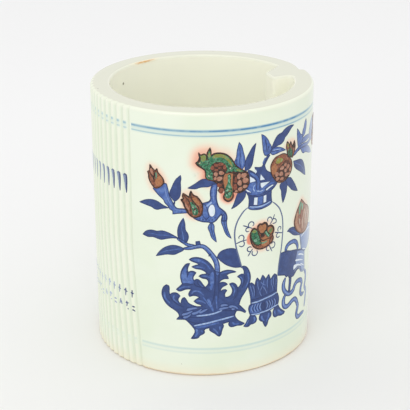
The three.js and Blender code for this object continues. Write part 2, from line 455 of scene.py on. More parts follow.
def wall_tree():
    """Sweeps three profiles round their plans and fills the three flats between them"""
    inputs = {f"{ring} {part}": "NodeSocketObject" for ring in WALL_RINGS for part in ("plan", "profile")}
    inputs.update({label: "NodeSocketFloat" for label in WALL_LENGTHS})
    inputs["Glaze"] = "NodeSocketMaterial"
    tree, add, given = new_tree("Rolled scroll wall", inputs)
    position = add("ShaderNodeSeparateXYZ", add("GeometryNodeInputPosition"))
    # An edge beside fewer than two faces is a border
    neighbours = add("GeometryNodeInputMeshEdgeNeighbors")
    open_edge = add("FunctionNodeCompare", neighbours, 1.5, operation="LESS_THAN")
    borders = {}
    parts = []
    for ring in WALL_RINGS:
        plan = add("GeometryNodeObjectInfo", given[ring + " plan"]).outputs["Geometry"]
        profile = add("GeometryNodeObjectInfo", given[ring + " profile"]).outputs["Geometry"]
        shell = add("GeometryNodeCurveToMesh", plan, profile)
        if ring == "Outer":
            shell = leaning_reeds(add, given, shell)
        parts.append(shell)
        middle = add(PRODUCT, given["Height" if ring == "Mouth" else "Ledge"], 0.5)
        for side, operation in (("high", "GREATER_THAN"), ("low", "LESS_THAN")):
            level = add("FunctionNodeCompare", position.outputs["Z"], middle, operation=operation)
            chosen = add("FunctionNodeBooleanMath", open_edge, level, operation="AND")
            borders[ring, side] = add("GeometryNodeMeshToCurve", shell, chosen)
    flats = (
        ("Outer", "high", "Mouth", "high", given["Height"], False),
        ("Outer", "low", "Foot", "low", 0.0, True),
        ("Mouth", "low", "Foot", "high", given["Ledge"], False),
    )
    for ring, side, other, other_side, level, turned in flats:
        both = add("GeometryNodeJoinGeometry", [borders[ring, side], borders[other, other_side]])
        lift = add("ShaderNodeCombineXYZ", 0.0, 0.0, level)
        flat = add("GeometryNodeSetPosition", add("GeometryNodeFillCurve", both), named={"Offset": lift})
        parts.append(add("GeometryNodeFlipFaces", flat) if turned else flat)
    joined = add("GeometryNodeJoinGeometry", parts)
    merged = add("GeometryNodeMergeByDistance", joined, named={"Distance": WELD})
    real = add("GeometryNodeRealizeInstances", merged)
    glazed = add("GeometryNodeSetMaterial", real, named={"Material": given["Glaze"]})
    add("NodeGroupOutput", glazed)
    return tree


def finish_normals(piece):
    """Faces outwards, with smooth shading and true corners left sharp"""
    mesh = bmesh.new()
    mesh.from_mesh(piece.data)
    bmesh.ops.recalc_face_normals(mesh, faces=mesh.faces)
    for face in mesh.faces:
        face.smooth = True
    for edge in mesh.edges:
        edge.smooth = len(edge.link_faces) == 2 and edge.calc_face_angle() < SMOOTH_LIMIT
    mesh.to_mesh(piece.data)
    mesh.free()


class BuildWall(bpy.types.Operator):
    """Builds the glazed wall with its reeds, its sheet edge and the inner end, in one skin of glaze"""
    bl_idname = "pot.wall"
    bl_label = "Wall and inner end"

    def execute(self, context):
        wall = context.scene.pot_wall
        reeds = context.scene.pot_reeds
        chamfer = wall.foot_chamfer
        outer = [(chamfer, 0), (0, chamfer), (0, chamfer + FLAT_RING)]
        outer += [(0, reeds.lean_height * i / LEAN_ROWS) for i in range(1, LEAN_ROWS + 1)]
        outer += rounded_edge(1, wall.height, wall.rim_rounding)
        mouth = [(0, wall.ledge_height)] + rounded_edge(-1, wall.height, wall.mouth_rounding)
        foot = [(-chamfer, 0), (0, chamfer), (0, wall.ledge_height)]
        foot_radius = wall.radius - wall.thickness - wall.foot_ledge
        curves = {
            "Outer plan": curve_object("plan_outer", outer_plan(), True),
            "Mouth plan": curve_object("plan_mouth", mouth_plan(), True),
            "Foot plan": curve_object("plan_foot", ring_plan(foot_radius), True),
            "Outer profile": profile_object("profile_outer", outer),
            "Mouth profile": profile_object("profile_mouth", mouth),
            "Foot profile": profile_object("profile_foot", foot),
        }
        start = placed("start", bpy.data.meshes.new("start"))
        panel_end = reeds.start - reeds.count * reeds.pitch
        lengths = (wall.height, wall.ledge_height, wall.radius)
        lengths += (reeds.lean, reeds.lean_height, reeds.start, panel_end)
        values = {**dict(zip(WALL_LENGTHS, lengths)), "Glaze": glazed_porcelain()}
        piece = grown("glazed_scroll_wall", wall_tree(), start, {**curves, **values})
        for curve in curves.values():
            bpy.data.objects.remove(curve)
        finish_normals(piece)
        settle(piece, "glazed_porcelain", "scroll_wall", "scroll_end")
        return {"FINISHED"}


# Glaze and paint

BODY_ROUGHNESS = 0.5
GLAZE_ROUGHNESS = 0.06
RIPPLE_LENGTH = 14 * MM
RIPPLE_HEIGHT = 0.05 * MM
CLOUD_SIZE = 30 * MM
CLOUD_RANGE = (0.35, 0.7)
CLOUD_SHARE = 0.35


def new_finish(name):
    """A colour under a clear, softly rippled gloss: its material, the function that adds its nodes, the place
    on the pot, and the function that sets its colour"""
    material = bpy.data.materials.new(name)
    material.use_nodes = True
    tree = material.node_tree
    surface = tree.nodes["Principled BSDF"]
    surface.inputs["Roughness"].default_value = BODY_ROUGHNESS
    surface.inputs["Specular IOR Level"].default_value = 0.0
    surface.inputs["Coat Weight"].default_value = 1.0
    surface.inputs["Coat Roughness"].default_value = GLAZE_ROUGHNESS
    add = partial(new_node, tree)
    place = add("ShaderNodeTexCoord").outputs["Object"]
    lumps = add("ShaderNodeTexNoise", place, 1 / RIPPLE_LENGTH, 1.0)
    ripple = add("ShaderNodeBump", 1.0, RIPPLE_HEIGHT, named={"Height": lumps.outputs[0]})
    for socket in ("Normal", "Coat Normal"):
        tree.links.new(ripple.outputs[0], surface.inputs[socket])
    return material, add, place, lambda colour: tree.links.new(shown(colour), surface.inputs["Base Color"])


def glaze_tone(add, place):
    """The tone of the glaze on the smooth wall, in wide soft clouds"""
    tones = bpy.context.scene.pot_glaze
    clouds = add("ShaderNodeTexNoise", place, 1 / CLOUD_SIZE)
    cloudy = add(FADE, clouds, *CLOUD_RANGE, 0.0, CLOUD_SHARE)
    return add(BLEND, cloudy, tones.wall, tones.pool)


# Iron specks: place in mm and radius in mm
IRON_SPECKS = (
    (-41.2, 22.5, 131.3, 1.0), (-52.0, -14.8, 139.8, 0.5), (7.0, 53.5, 139.9, 0.35),
    (33.0, 33.0, 139.9, 0.35), (-12.0, -55.7, 6.5, 0.3), (40.0, 40.6, 60.0, 0.45), (-30.0, 48.4, 92.0, 0.5),
)
# The burnt flaw on the inner edge of the rim
FLAW_ANGLE = math.radians(130)
FLAW_LENGTH = 14 * MM
FLAW_WIDTH = 1.6 * MM
FLAW_DEPTH = 0.5 * MM
FLAW_GRAIN = 1.5 * MM
FLAW_RAGGED = 0.9
FLAW_TONES = {"foot": (1.2, 2.6), "flaw": (0.8, 1.6)}
FLAW_SHARE = 0.8
SPECK_CORE = 0.4
SPECK_SHARE = 0.9
# Where one tone of the glaze gives way to another, and the most of it that shows. Distances are in from the
# smooth outside, down from the rim or up from the foot. A facing is how far a surface looks up.
# The inside tone, a yellow tint and painted light, starts this far in from the outside
INSIDE_FROM = (4 * MM, 3.3 * MM)
# Crests of the reeds: cream of thin glaze, and a painted highlight along each crest
CREST_DEPTH = 0.25 * MM
CREST_THIN_GLAZE_AND_HIGHLIGHT_SHARE = 0.6
# Grooves between the reeds: pooled glaze, and painted shade
GROOVE_DEPTH = 0.05 * MM
GROOVE_POOL_AND_SHADE_SHARE = 0.7
# The rim's outer edge: thin glaze, and a painted highlight along its rounding
THIN_EDGE = (2.4 * MM, 0.9 * MM)
THIN_EDGE_AND_HIGHLIGHT_SHARE = 0.5
LIP_FALL = (1.6 * MM, 0.5 * MM)
LIP_SHARE = 0.55
RIM_FLAT = (0.3 * MM, 0.05 * MM)
RIM_FACING = (0.9, 0.99)
RAGGED_SIZE = 6 * MM
RAGGED_HEIGHT = 1.8 * MM
FOOT_RISE = (1.5 * MM, 9 * MM)
FOOT_SHARE = 0.6
BURN_RISE = (1.6 * MM, 2.7 * MM)
BURN_SHARE = 0.6
BURN_LOST_ON_REEDS = 0.7
CLAY_RISE = (0.05 * MM, 0.3 * MM)
CLAY_FACING = (-0.4, -0.9)


def glazed_porcelain():
    """Porcelain dipped in a clear glaze and fired with the painting beneath it. The eye gets a wet gloss, a
    faint green where the glaze lies thick, deepened into painted shade in the reeds' grooves, cream where it
    lies thin, also a painted highlight on the reeds' crests and the rim's outer edge, an inside painted
    brighter as painted light, and a warm grey flat on the rim."""
    wall = bpy.context.scene.pot_wall
    reeds = bpy.context.scene.pot_reeds
    tones = bpy.context.scene.pot_glaze
    material, add, place, set_colour = new_finish("clear_glazed_porcelain")
    x, y, z = add("ShaderNodeSeparateXYZ", place).outputs
    level = add("ShaderNodeCombineXYZ", x, y)
    reach = add("ShaderNodeVectorMath", level, operation="LENGTH")
    lean = lean_nodes(add, z, reeds.lean, reeds.lean_height)
    around = add(DIFFERENCE, add(PRODUCT, turn_nodes(add, x, y), wall.radius), lean)
    normal = add("ShaderNodeNewGeometry").outputs["Normal"]
    facing = add("ShaderNodeSeparateXYZ", normal).outputs["Z"]
    outside = add(FADE, reach, *(wall.radius - depth for depth in INSIDE_FROM))

    depth = add(DIFFERENCE, wall.radius - wall.coat, reach)
    panel_end = reeds.start - reeds.count * reeds.pitch
    left = add(FADE, around, panel_end - reeds.border, panel_end)
    right = add(FADE, around, reeds.start, reeds.start + reeds.border, 1.0, 0.0)
    panel = add(PRODUCT, left, right)
    # Reed crests take the thin tone: thin glaze, and a painted highlight along each crest
    crest = add(PRODUCT, panel, add(FADE, depth, 0.0, CREST_DEPTH, CREST_THIN_GLAZE_AND_HIGHLIGHT_SHARE, 0.0))
    base = add(BLEND, crest, glaze_tone(add, place), tones.thin)
    # Grooves take the groove tone: greener where the glaze pools, widened into painted shade down each groove
    pooled_and_shaded = add(FADE, depth, GROOVE_DEPTH, reeds.depth - reeds.fill, 0.0, GROOVE_POOL_AND_SHADE_SHARE)
    base = add(BLEND, add(PRODUCT, panel, pooled_and_shaded), base, tones.groove)
    # Inside the pot: a yellow tint, and painted light that brightens the hollow
    base = add(BLEND, outside, tones.inside, base)

    # Top of the outside: cream of thin glaze, painted as a highlight band on the rim's rounded edge
    edge = add(FADE, z, *(wall.height - fall for fall in THIN_EDGE), 0.0, THIN_EDGE_AND_HIGHLIGHT_SHARE)
    base = add(BLEND, add(PRODUCT, edge, outside), base, tones.thin)
    # The mouth's inner rounding keeps part of the brightened inside tone as a painted highlight line, and
    # takes some of the rim's grey
    lip = add(FADE, z, *(wall.height - fall for fall in LIP_FALL), 0.0, LIP_SHARE)
    lip = add(PRODUCT, lip, add(DIFFERENCE, 1.0, outside))
    base = add(BLEND, lip, base, tones.rim)
    rim = add(FADE, z, *(wall.height - fall for fall in RIM_FLAT))
    rim = add(PRODUCT, rim, add(FADE, facing, *RIM_FACING))
    base = add(BLEND, rim, base, tones.rim)

    lumps = add("ShaderNodeTexNoise", place, 1 / RAGGED_SIZE)
    ragged = add(SUM, z, add(PRODUCT, lumps, RAGGED_HEIGHT))
    foot = add(PRODUCT, add(FADE, ragged, *FOOT_RISE, FOOT_SHARE, 0.0), outside)
    base = add(BLEND, foot, base, tones.foot)
    burn = add(PRODUCT, add(FADE, ragged, *BURN_RISE, BURN_SHARE, 0.0), outside)
    burn = add(PRODUCT, burn, add(DIFFERENCE, 1.0, add(PRODUCT, panel, BURN_LOST_ON_REEDS)))
    base = add(BLEND, burn, base, tones.burnt)
    bare = add(PRODUCT, add(FADE, facing, *CLAY_FACING), add(FADE, z, *CLAY_RISE, 1.0, 0.0))
    base = add(BLEND, bare, base, tones.clay)

    mouth = polar(FLAW_ANGLE, wall.radius - wall.thickness)
    gap = add("ShaderNodeVectorMath", place, (*mouth, wall.height - FLAW_DEPTH), operation="SUBTRACT")
    turned = add("ShaderNodeVectorRotate", gap, named={"Angle": -FLAW_ANGLE}, rotation_type="Z_AXIS")
    squash = (2 / FLAW_WIDTH, 2 / FLAW_LENGTH, 2 / FLAW_WIDTH)
    scaled = add("ShaderNodeVectorMath", turned, squash, operation="MULTIPLY")
    away = add("ShaderNodeVectorMath", scaled, operation="LENGTH")
    lumps = add("ShaderNodeTexNoise", place, 1 / FLAW_GRAIN)
    away = add(SUM, away, add(PRODUCT, lumps, FLAW_RAGGED))
    for tone, edge in FLAW_TONES.items():
        base = add(BLEND, add(FADE, away, *edge, FLAW_SHARE, 0.0), base, getattr(tones, tone))
    for *spot, radius in IRON_SPECKS:
        spot = tuple(MM * side for side in spot)
        away = add("ShaderNodeVectorMath", place, spot, operation="DISTANCE")
        speck = add(FADE, away, SPECK_CORE * radius * MM, radius * MM, SPECK_SHARE, 0.0)
        base = add(BLEND, speck, base, tones.iron)
    set_colour(base)
    return material


# Each tone of paint, from the lowest to the highest: its colour where it lies thin, then in patches of a size
# in mm a paler and a deeper colour, and their shares
PAINTS = {
    "salmon": ("blush", "blush", "salmon", 6.0, 0.25, 0.0),
    "band": ("faint", "faint", "band", 5.0, 0.3, 0.0),
    "leaf": ("haze", "wash", "line", 3.6, 0.18, 0.3),
    "wash": ("haze", "light", "leaf", 2.4, 0.18, 0.4),
    "line": ("haze", "leaf", "line", 2.0, 0.4, 0.0),
    "light": ("wash", "veil", "wash", 1.5, 0.25, 0.3),
    "veil": ("veil", "veil", "faint", 3.0, 0.0, 0.3),
    "copper": ("dust", "seed", "outline", 1.3, 0.5, 0.45),
    "amber": ("dust", "seed", "copper", 1.2, 0.3, 0.6),
    "green": ("verdigris", "verdigris", "outline", 1.3, 0.42, 0.75),
    "yellow": ("green", "verdigris", "copper", 1.1, 0.4, 0.5),
    "verdigris": ("dust", "veil", "green", 0.8, 0.2, 0.75),
    "outline": ("copper", "copper", "outline", 0.9, 0.35, 0.0),
    "russet": ("dust", "seed", "outline", 1.0, 0.3, 0.4),
    "seed": ("dust", "dust", "copper", 1.0, 0.3, 0.5),
}
TONES = list(PAINTS)
# Heights in mm: each tone lies above the last, and the shapes of one tone take turns
LAYER_STEP = 0.0096
SHAPE_STEP = 0.0011
SHAPES_IN_LAYER = 8
PATCH_DETAIL = 3.0
PATCH_SHIFT = (0.07, 0.11, 0.13)
WASHED_RANGE = (0.45, 0.6)
HEAPED_SIZE = 0.6
HEAPED_RANGE = (0.46, 0.6)
THIN_RANGE = (0.4, 1.0)
COVER_GAIN = 2.0


def underglaze(tone):
    """Cobalt or copper brushed on the raw clay and fired under the glaze. The eye gets the same wet gloss as
    on the bare porcelain, over colour that is heaped darker or washed thinner in small patches, and that
    melts into the glaze where it lies thin."""
    name = "underglaze_" + tone
    if name in bpy.data.materials:
        return bpy.data.materials[name]
    thin, paler, deeper, size, paler_share, deeper_share = PAINTS[tone]
    tones = bpy.context.scene.pot_paint
    material, add, place, set_colour = new_finish(name)
    patches = add("ShaderNodeTexNoise", place, 1 / (size * MM), PATCH_DETAIL)
    washed = add(FADE, patches, *WASHED_RANGE, 0.0, paler_share)
    base = add(BLEND, washed, getattr(tones, tone), getattr(tones, paler))
    if deeper_share:
        shifted = add("ShaderNodeVectorMath", place, PATCH_SHIFT, operation="ADD")
        patches = add("ShaderNodeTexNoise", shifted, 1 / (HEAPED_SIZE * size * MM), PATCH_DETAIL)
        heaped = add(FADE, patches, *HEAPED_RANGE, 0.0, deeper_share)
        base = add(BLEND, heaped, base, getattr(tones, deeper))
    density = add("ShaderNodeAttribute", attribute_name="coverage").outputs["Fac"]
    base = add(BLEND, add(FADE, density, *THIN_RANGE), getattr(tones, thin), base)
    covered = add("ShaderNodeMath", add(PRODUCT, density, COVER_GAIN), 1.0, operation="MINIMUM")
    base = add(BLEND, covered, glaze_tone(add, place), base)
    set_colour(base)
    return material


# Drawing

OUTLINE_STEP = 0.5
OVAL_POINTS = 20
# A brush line's ends are rounded: the width that is left at its tip, squared, and how late it narrows
TIP_LEFT = 0.12
TIP_POWER = 8
LINE_EDGE = 0.45
LEAF_EDGE = 0.38
LEAF_VEIN = (0.5, 0.25)
SEED_GROWTH = 1.05
SEED_WOBBLE = 0.07
SEED_POINTS = 14
# Widths of the strips that a shape is cut into, so that it follows the wall
SMOOTH_STRIP = 1.5
REED_STRIP = 0.3
CUT_REACH = 1e-4
PAINT_THICKNESS = 0.3
RAY_START = 3 * MM
RAY_LENGTH = 20 * MM
FLAT_WELD = 0.0001 * MM
# What is left of bled copper, ring by ring outwards
HALO_FADES = (1.0, 0.84, 0.6, 0.36, 0.16, 0.04, 0.0)
# Where around the wall the paint is palest, over what reach, and how much of it is taken away
PALE_MIDDLE = 76
PALE_REACH = 14
PALE_SHARE = 0.42


def points_of(numbers):
    """Points from numbers that go around, up, around, up"""
    return [Vector(pair) for pair in zip(numbers[::2], numbers[1::2])]


def smooth(points):
    """A smooth open line through points, with a place about every half millimetre"""
    if len(points) == 1:
        return points
    padded = [2 * points[0] - points[1]] + points + [2 * points[-1] - points[-2]]
    line = [points[0]]
    for before, start, end, after in zip(padded, padded[1:], padded[2:], padded[3:]):
        span = (end - start).length
        leaving = (end - before) * (span / ((start - before).length + span))
        arriving = (after - start) * (span / ((after - end).length + span))
        steps = max(1, round(span / OUTLINE_STEP))
        for i in range(1, steps + 1):
            t = i / steps
            line.append((2 * t ** 3 - 3 * t ** 2 + 1) * start + (t ** 3 - 2 * t ** 2 + t) * leaving
                        + (3 * t ** 2 - 2 * t ** 3) * end + (t ** 3 - t ** 2) * arriving)
    return line


def outline(*runs):
    """A closed outline, smooth within each run and with a corner at the end of each. It ends on its start."""
    points = smooth(points_of(runs[0]))
    for run in runs[1:]:
        points += smooth([points[-1], *points_of(run)])[1:]
    if points[-1] == points[0]:
        return points[:-1]
    return points + smooth([points[-1], points[0]])[1:-1]


def rounded(*numbers):
    """A closed outline without corners"""
    return smooth(points_of(numbers + numbers[:2]))[:-1]


def oval(middle, half_width, half_height, turn=0.0, wobble=0.0, count=OVAL_POINTS):
    """A round or oval outline, a little uneven where it has a wobble"""
    points = []
    for i in range(count):
        a = math.tau * i / count
        grow = 1 + wobble * math.sin(3 * a + middle[0]) + wobble * math.sin(2 * a + middle[1])
        point = Vector((half_width * grow * math.cos(a), half_height * grow * math.sin(a)))
        points.append(Vector(middle) + Matrix.Rotation(turn, 2) @ point)
    return points


def between(one, other, share, count=12):
    """The line that runs between two lines"""
    def at(line, t):
        place = t * (len(line) - 1)
        i = min(int(place), len(line) - 2)
        return line[i].lerp(line[i + 1], place - i)
    return [at(one, i / count).lerp(at(other, i / count), share) for i in range(count + 1)]


def sideways(line, closed=False):
    """Unit vectors to the left of a line, one at each of its points"""
    count = len(line)
    sides = []
    for i in range(count):
        before = line[i - 1] if i or closed else line[i]
        after = line[(i + 1) % count] if i < count - 1 or closed else line[i]
        along = (after - before).normalized()
        sides.append(Vector((-along.y, along.x)))
    return sides


def fading_to_the_right(across):
    """How much of the paint is kept: less towards the right of the front"""
    return 1 - PALE_SHARE * math.exp(-((across - PALE_MIDDLE) / PALE_REACH) ** 2)


def leaning(up):
    """How far the reeds lean to the right at a height, in mm"""
    reeds = bpy.context.scene.pot_reeds
    return reeds.lean / MM * max(0.0, 1 - up * MM / reeds.lean_height) ** LEAN_POWER


class Sheet:
    """The flat shapes of one piece of painting, in millimetres around and up the wall"""

    def __init__(self, across=0.0, up=0.0, mirror=False):
        self.mesh = bmesh.new()
        self.lift = self.mesh.verts.layers.float.new("lift")
        self.density = self.mesh.verts.layers.float.new("coverage")
        self.tone = self.mesh.faces.layers.int.new("tone")
        self.used = dict.fromkeys(TONES, 0)
        self.across = across
        self.up = up
        self.side = -1 if mirror else 1

    def put(self, tone, points, faces, density=1.0):
        """Adds faces of one tone. The density is one number or one for each point."""
        height = (TONES.index(tone) + 1) * LAYER_STEP + self.used[tone] % SHAPES_IN_LAYER * SHAPE_STEP
        self.used[tone] += 1
        made = []
        for i, point in enumerate(points):
            vertex = self.mesh.verts.new((point.x * self.side + self.across, point.y + self.up, 0))
            vertex[self.lift] = height * MM
            vertex[self.density] = density if isinstance(density, float) else density[i]
            made.append(vertex)
        for corners in faces:
            face = self.mesh.faces.new([made[i] for i in corners])
            face[self.tone] = TONES.index(tone)
            face.normal_update()
            if face.normal.z < 0:
                face.normal_flip()

    def fill(self, tone, points, edge=None, width=0.5, density=1.0):
        """Fills an outline, and draws a dark edge round it where one is named"""
        self.put(tone, points, tessellate_polygon([[p.to_3d() for p in points]]), density)
        if edge:
            self.draw(edge, points, width, closed=True)

    def draw(self, tone, line, width, end_width=None, closed=False, blunt=False, edge=None, density=1.0):
        """Draws a brush line of a width in mm, which may change towards its end"""
        count = len(line)
        end_width = width if end_width is None else end_width
        left = []
        right = []
        for i, (point, side) in enumerate(zip(line, sideways(line, closed))):
            share = i / max(1, count - 1)
            reach = (width + (end_width - width) * share) / 2
            if not closed and not blunt:
                reach *= math.sqrt(max(TIP_LEFT, 1 - (2 * share - 1) ** TIP_POWER))
            left.append(point + side * reach)
            right.append(point - side * reach)
        steps = range(count if closed else count - 1)
        faces = [(i, (i + 1) % count, (i + 1) % count + count, i + count) for i in steps]
        self.put(tone, left + right, faces, density)
        if edge:
            self.draw(edge, left + right[::-1], LINE_EDGE, closed=True)

    def stroke(self, tone, numbers, width, end_width=None, **more):
        self.draw(tone, smooth(points_of(numbers)), width, end_width, **more)

    def strokes(self, tone, lines, width, end_width=None, **more):
        for line in lines:
            self.stroke(tone, line, width, end_width, **more)

    def band(self, tone, line, rows, along):
        """Draws a band with soft edges from rows, each a distance to the left of the line and a density
        there, and from what is left of the density at each point along the line"""
        count = len(line)
        points = []
        density = []
        for away, strength in rows:
            for i, (point, side) in enumerate(zip(line, sideways(line))):
                points.append(point + side * away)
                density.append(strength * along[i])
        faces = []
        for row in range(len(rows) - 1):
            for i in range(row * count, (row + 1) * count - 1):
                faces.append((i, i + 1, i + 1 + count, i + count))
        self.put(tone, points, faces, density)

    def halo(self, numbers, reach, strength, lean=(0, 0)):
        """Copper that bled out round a closed outline, heavier on the side that lean points to"""
        line = rounded(*numbers)
        count = len(line)
        middle = sum(line, Vector((0, 0))) / count
        sides = sideways(line, True)
        if (line[0] - middle).dot(sides[0]) < 0:
            sides = [-side for side in sides]
        places = [middle]
        density = [float(strength)]
        faces = [(0, 1 + i, 1 + (i + 1) % count) for i in range(count)]
        for ring, fade in enumerate(HALO_FADES):
            away = reach * ring / (len(HALO_FADES) - 1)
            for i, (point, side) in enumerate(zip(line, sides)):
                heavy = strength * (1 + (point - middle).normalized().dot(Vector(lean)))
                places.append(point + side * away)
                density.append(min(1.0, heavy * fade))
                if ring:
                    here = 1 + ring * count + i
                    on = 1 + ring * count + (i + 1) % count
                    faces.append((here - count, on - count, on, here))
        self.put("salmon", places, faces, density)

    def leaf(self, base, tip, one, other, tone="leaf", vein="wash"):
        """A pointed leaf with its base, its tip, and both sides from base to tip"""
        side = smooth(points_of((*base, *one, *tip)))
        facing = smooth(points_of((*base, *other, *tip)))
        self.fill(tone, side + facing[-2:0:-1], "line", LEAF_EDGE)
        if vein:
            self.draw(vein, between(side, facing, 0.5)[1:-2], *LEAF_VEIN)

    def seeds(self, tone, places):
        """Seeds in their dark ground: middle, half width and half height of each"""
        for across, up, wide, high in places:
            size = (SEED_GROWTH * wide, SEED_GROWTH * high)
            self.fill(tone, oval((across, up), *size, wobble=SEED_WOBBLE, count=SEED_POINTS))

    def finish(self, name, slot, strip=SMOOTH_STRIP):
        """Cuts the shapes into narrow strips and wraps them on the wall"""
        places = [v.co.x for v in self.mesh.verts]
        for i in range(math.ceil(min(places) / strip), math.floor(max(places) / strip) + 1):
            everything = [*self.mesh.verts, *self.mesh.edges, *self.mesh.faces]
            bmesh.ops.bisect_plane(
                self.mesh, geom=everything, plane_co=(i * strip, 0, 0), plane_no=(1, 0, 0), dist=CUT_REACH)
        for vertex in self.mesh.verts:
            vertex[self.density] *= fading_to_the_right(vertex.co.x)
        bmesh.ops.scale(self.mesh, verts=self.mesh.verts, vec=(MM, MM, 1))
        data = bpy.data.meshes.new(name)
        self.mesh.to_mesh(data)
        self.mesh.free()
        values = {
            "Wall": bpy.data.objects["glazed_scroll_wall"],
            "Radius": bpy.context.scene.pot_wall.radius,
            "Sink": PAINT_THICKNESS * MM,
            **{tone: underglaze(tone) for tone in TONES},
        }
        piece = grown(name, wrap_tree(), placed(name + "_flat", data), values)
        finish_normals(piece)
        settle(piece, slot)


def wrap_tree():
    """Thickens flat shapes and lays them on the wall, whatever its shape there"""
    name = "Painting on the wall"
    if name in bpy.data.node_groups:
        return bpy.data.node_groups[name]
    inputs = {"Flat": "NodeSocketGeometry", "Wall": "NodeSocketObject", "Radius": "NodeSocketFloat",
              "Sink": "NodeSocketFloat", **dict.fromkeys(TONES, "NodeSocketMaterial")}
    tree, add, given = new_tree(name, inputs)
    flat = given["Flat"]
    top = add("GeometryNodeExtrudeMesh", flat, named={"Offset": (0.0, 0.0, 1.0), "Individual": False})
    both = add("GeometryNodeJoinGeometry", [top, add("GeometryNodeFlipFaces", flat)])
    closed = add("GeometryNodeMergeByDistance", both, named={"Distance": FLAT_WELD})

    across, up, level = add("ShaderNodeSeparateXYZ", add("GeometryNodeInputPosition")).outputs
    turn = add(RATIO, across, given["Radius"])
    sine = add("ShaderNodeMath", turn, operation="SINE")
    cosine = add("ShaderNodeMath", turn, operation="COSINE")
    inward = add("ShaderNodeCombineXYZ", add(PRODUCT, sine, -1.0), cosine)
    away = add(PRODUCT, add(SUM, given["Radius"], RAY_START), -1.0)
    beside = add("ShaderNodeVectorMath", inward, away, operation="SCALE")
    height = add("ShaderNodeCombineXYZ", 0.0, 0.0, up)
    start = add("ShaderNodeVectorMath", beside, height, operation="ADD")
    wall = add("GeometryNodeObjectInfo", given["Wall"]).outputs["Geometry"]
    hit = add("GeometryNodeRaycast", wall, named={
        "Source Position": start, "Ray Direction": inward, "Ray Length": RAY_LENGTH}).outputs["Hit Position"]
    lift = add("GeometryNodeInputNamedAttribute", "lift", data_type="FLOAT")
    sink = add(PRODUCT, given["Sink"], add(DIFFERENCE, 1.0, level))
    depth = add(DIFFERENCE, sink, add(PRODUCT, lift, level))
    offset = add("ShaderNodeVectorMath", inward, depth, operation="SCALE")
    target = add("ShaderNodeVectorMath", hit, offset, operation="ADD")
    laid = add("GeometryNodeSetPosition", closed, named={"Position": target})
    result = add("GeometryNodeRealizeInstances", laid)
    painted = add("GeometryNodeInputNamedAttribute", "tone", data_type="INT")
    for number, tone in enumerate(TONES):
        near = add("FunctionNodeCompare", painted, float(number), named={"Epsilon": 0.1}, operation="EQUAL")
        result = add("GeometryNodeSetMaterial", result, near, given[tone])
    add("NodeGroupOutput", result)
    return tree


def paint(name, slot, *drawings, place=()):
    """Makes one piece of painting from the functions that draw on its sheet"""
    sheet = Sheet(*place)
    for drawing in drawings:
        drawing(sheet)
    sheet.finish(name, slot)
    return {"FINISHED"}


# The painting

# Lines round the pot, in pairs: height of the upper one, and rows of distance above it and density, in mm
RING_LINES = (
    (131.0, ((1.0, 0.0), (0.6, 0.5), (0.2, 0.95), (-0.3, 0.95), (-0.7, 0.45), (-1.2, 0.2), (-1.9, 0.24),
             (-2.3, 0.76), (-2.6, 0.76), (-2.9, 0.2), (-3.6, 0.0))),
    (15.5, ((0.9, 0.0), (0.2, 0.34), (-0.2, 0.34), (-0.9, 0.07), (-1.6, 0.07), (-2.1, 0.2), (-2.4, 0.2),
            (-3.1, 0.0))),
)
RING_TILT = 0.3
RING_STEP = 3
SEAM_GAP = 0.01
# How fresh the paint is along the rings: its least, how much it varies, and over how many mm
FRESH_LEAST = 0.9
FRESH_CHANGE = 0.1
FRESH_LENGTH = 22
# The dashes on the reeds: their share of a reed, how far they sit to the left, and how they slope. They are
# paler from reed to reed towards the left as painted glare, and the low ones are paler than the high ones.
DASH_SHARE = 0.72
DASH_SHIFT = 0.6
DASH_SLOPE = 0.1
DASH_STRENGTH = 0.75
DASH_GLARE_FADE = 0.05
DASH_LEAST = 0.35
LOW_DASH_SHARE = 0.4
DASH_STEPS = 8


def ring_height(up, across):
    """The painted rings are not quite level"""
    return up - RING_TILT * math.sin(across * MM / bpy.context.scene.pot_wall.radius)


class PaintLines(bpy.types.Operator):
    """Paints the soft double lines round the rim and the foot, broken by the reeds"""
    bl_idname = "pot.paint_lines"
    bl_label = "Lines"

    def execute(self, context):
        reeds = context.scene.pot_reeds
        wall = context.scene.pot_wall
        back = math.pi * wall.radius / MM
        panel_end = (reeds.start - reeds.count * reeds.pitch - reeds.border) / MM
        sheet = Sheet()
        for up, rows in RING_LINES:
            panel_start = (reeds.start + reeds.border) / MM + leaning(up)
            for low, high in ((panel_start, back - SEAM_GAP), (SEAM_GAP - back, panel_end)):
                count = round((high - low) / RING_STEP)
                places = [low + (high - low) * i / count for i in range(count + 1)]
                line = [Vector((across, ring_height(up, across))) for across in places]
                fresh = [FRESH_LEAST + FRESH_CHANGE * math.sin(across / FRESH_LENGTH) for across in places]
                sheet.band("band", line, rows, fresh)
        sheet.finish("painting_lines", "underglaze_blue")
        dashes = Sheet()
        pitch = reeds.pitch / MM
        steps = [i / DASH_STEPS for i in range(DASH_STEPS + 1)]
        swell = [math.sin(math.pi * step) ** 0.5 for step in steps]
        for (up, rows), share in zip(RING_LINES, (1, LOW_DASH_SHARE)):
            for number in range(reeds.count):
                # Paler reed by reed towards the left: painted glare
                strength = max(DASH_LEAST, DASH_STRENGTH - DASH_GLARE_FADE * number) * share
                middle = reeds.start / MM - (number + 0.5) * pitch - DASH_SHIFT + leaning(up)
                line = []
                for step in steps:
                    across = middle + DASH_SHARE * pitch / 2 * (2 * step - 1)
                    line.append(Vector((across, ring_height(up, across) + DASH_SLOPE * (across - middle))))
                dashes.band("band", line, [(away, strength * density) for away, density in rows], swell)
        dashes.finish("painting_lines_on_reeds", "underglaze_blue", REED_STRIP)
        return {"FINISHED"}


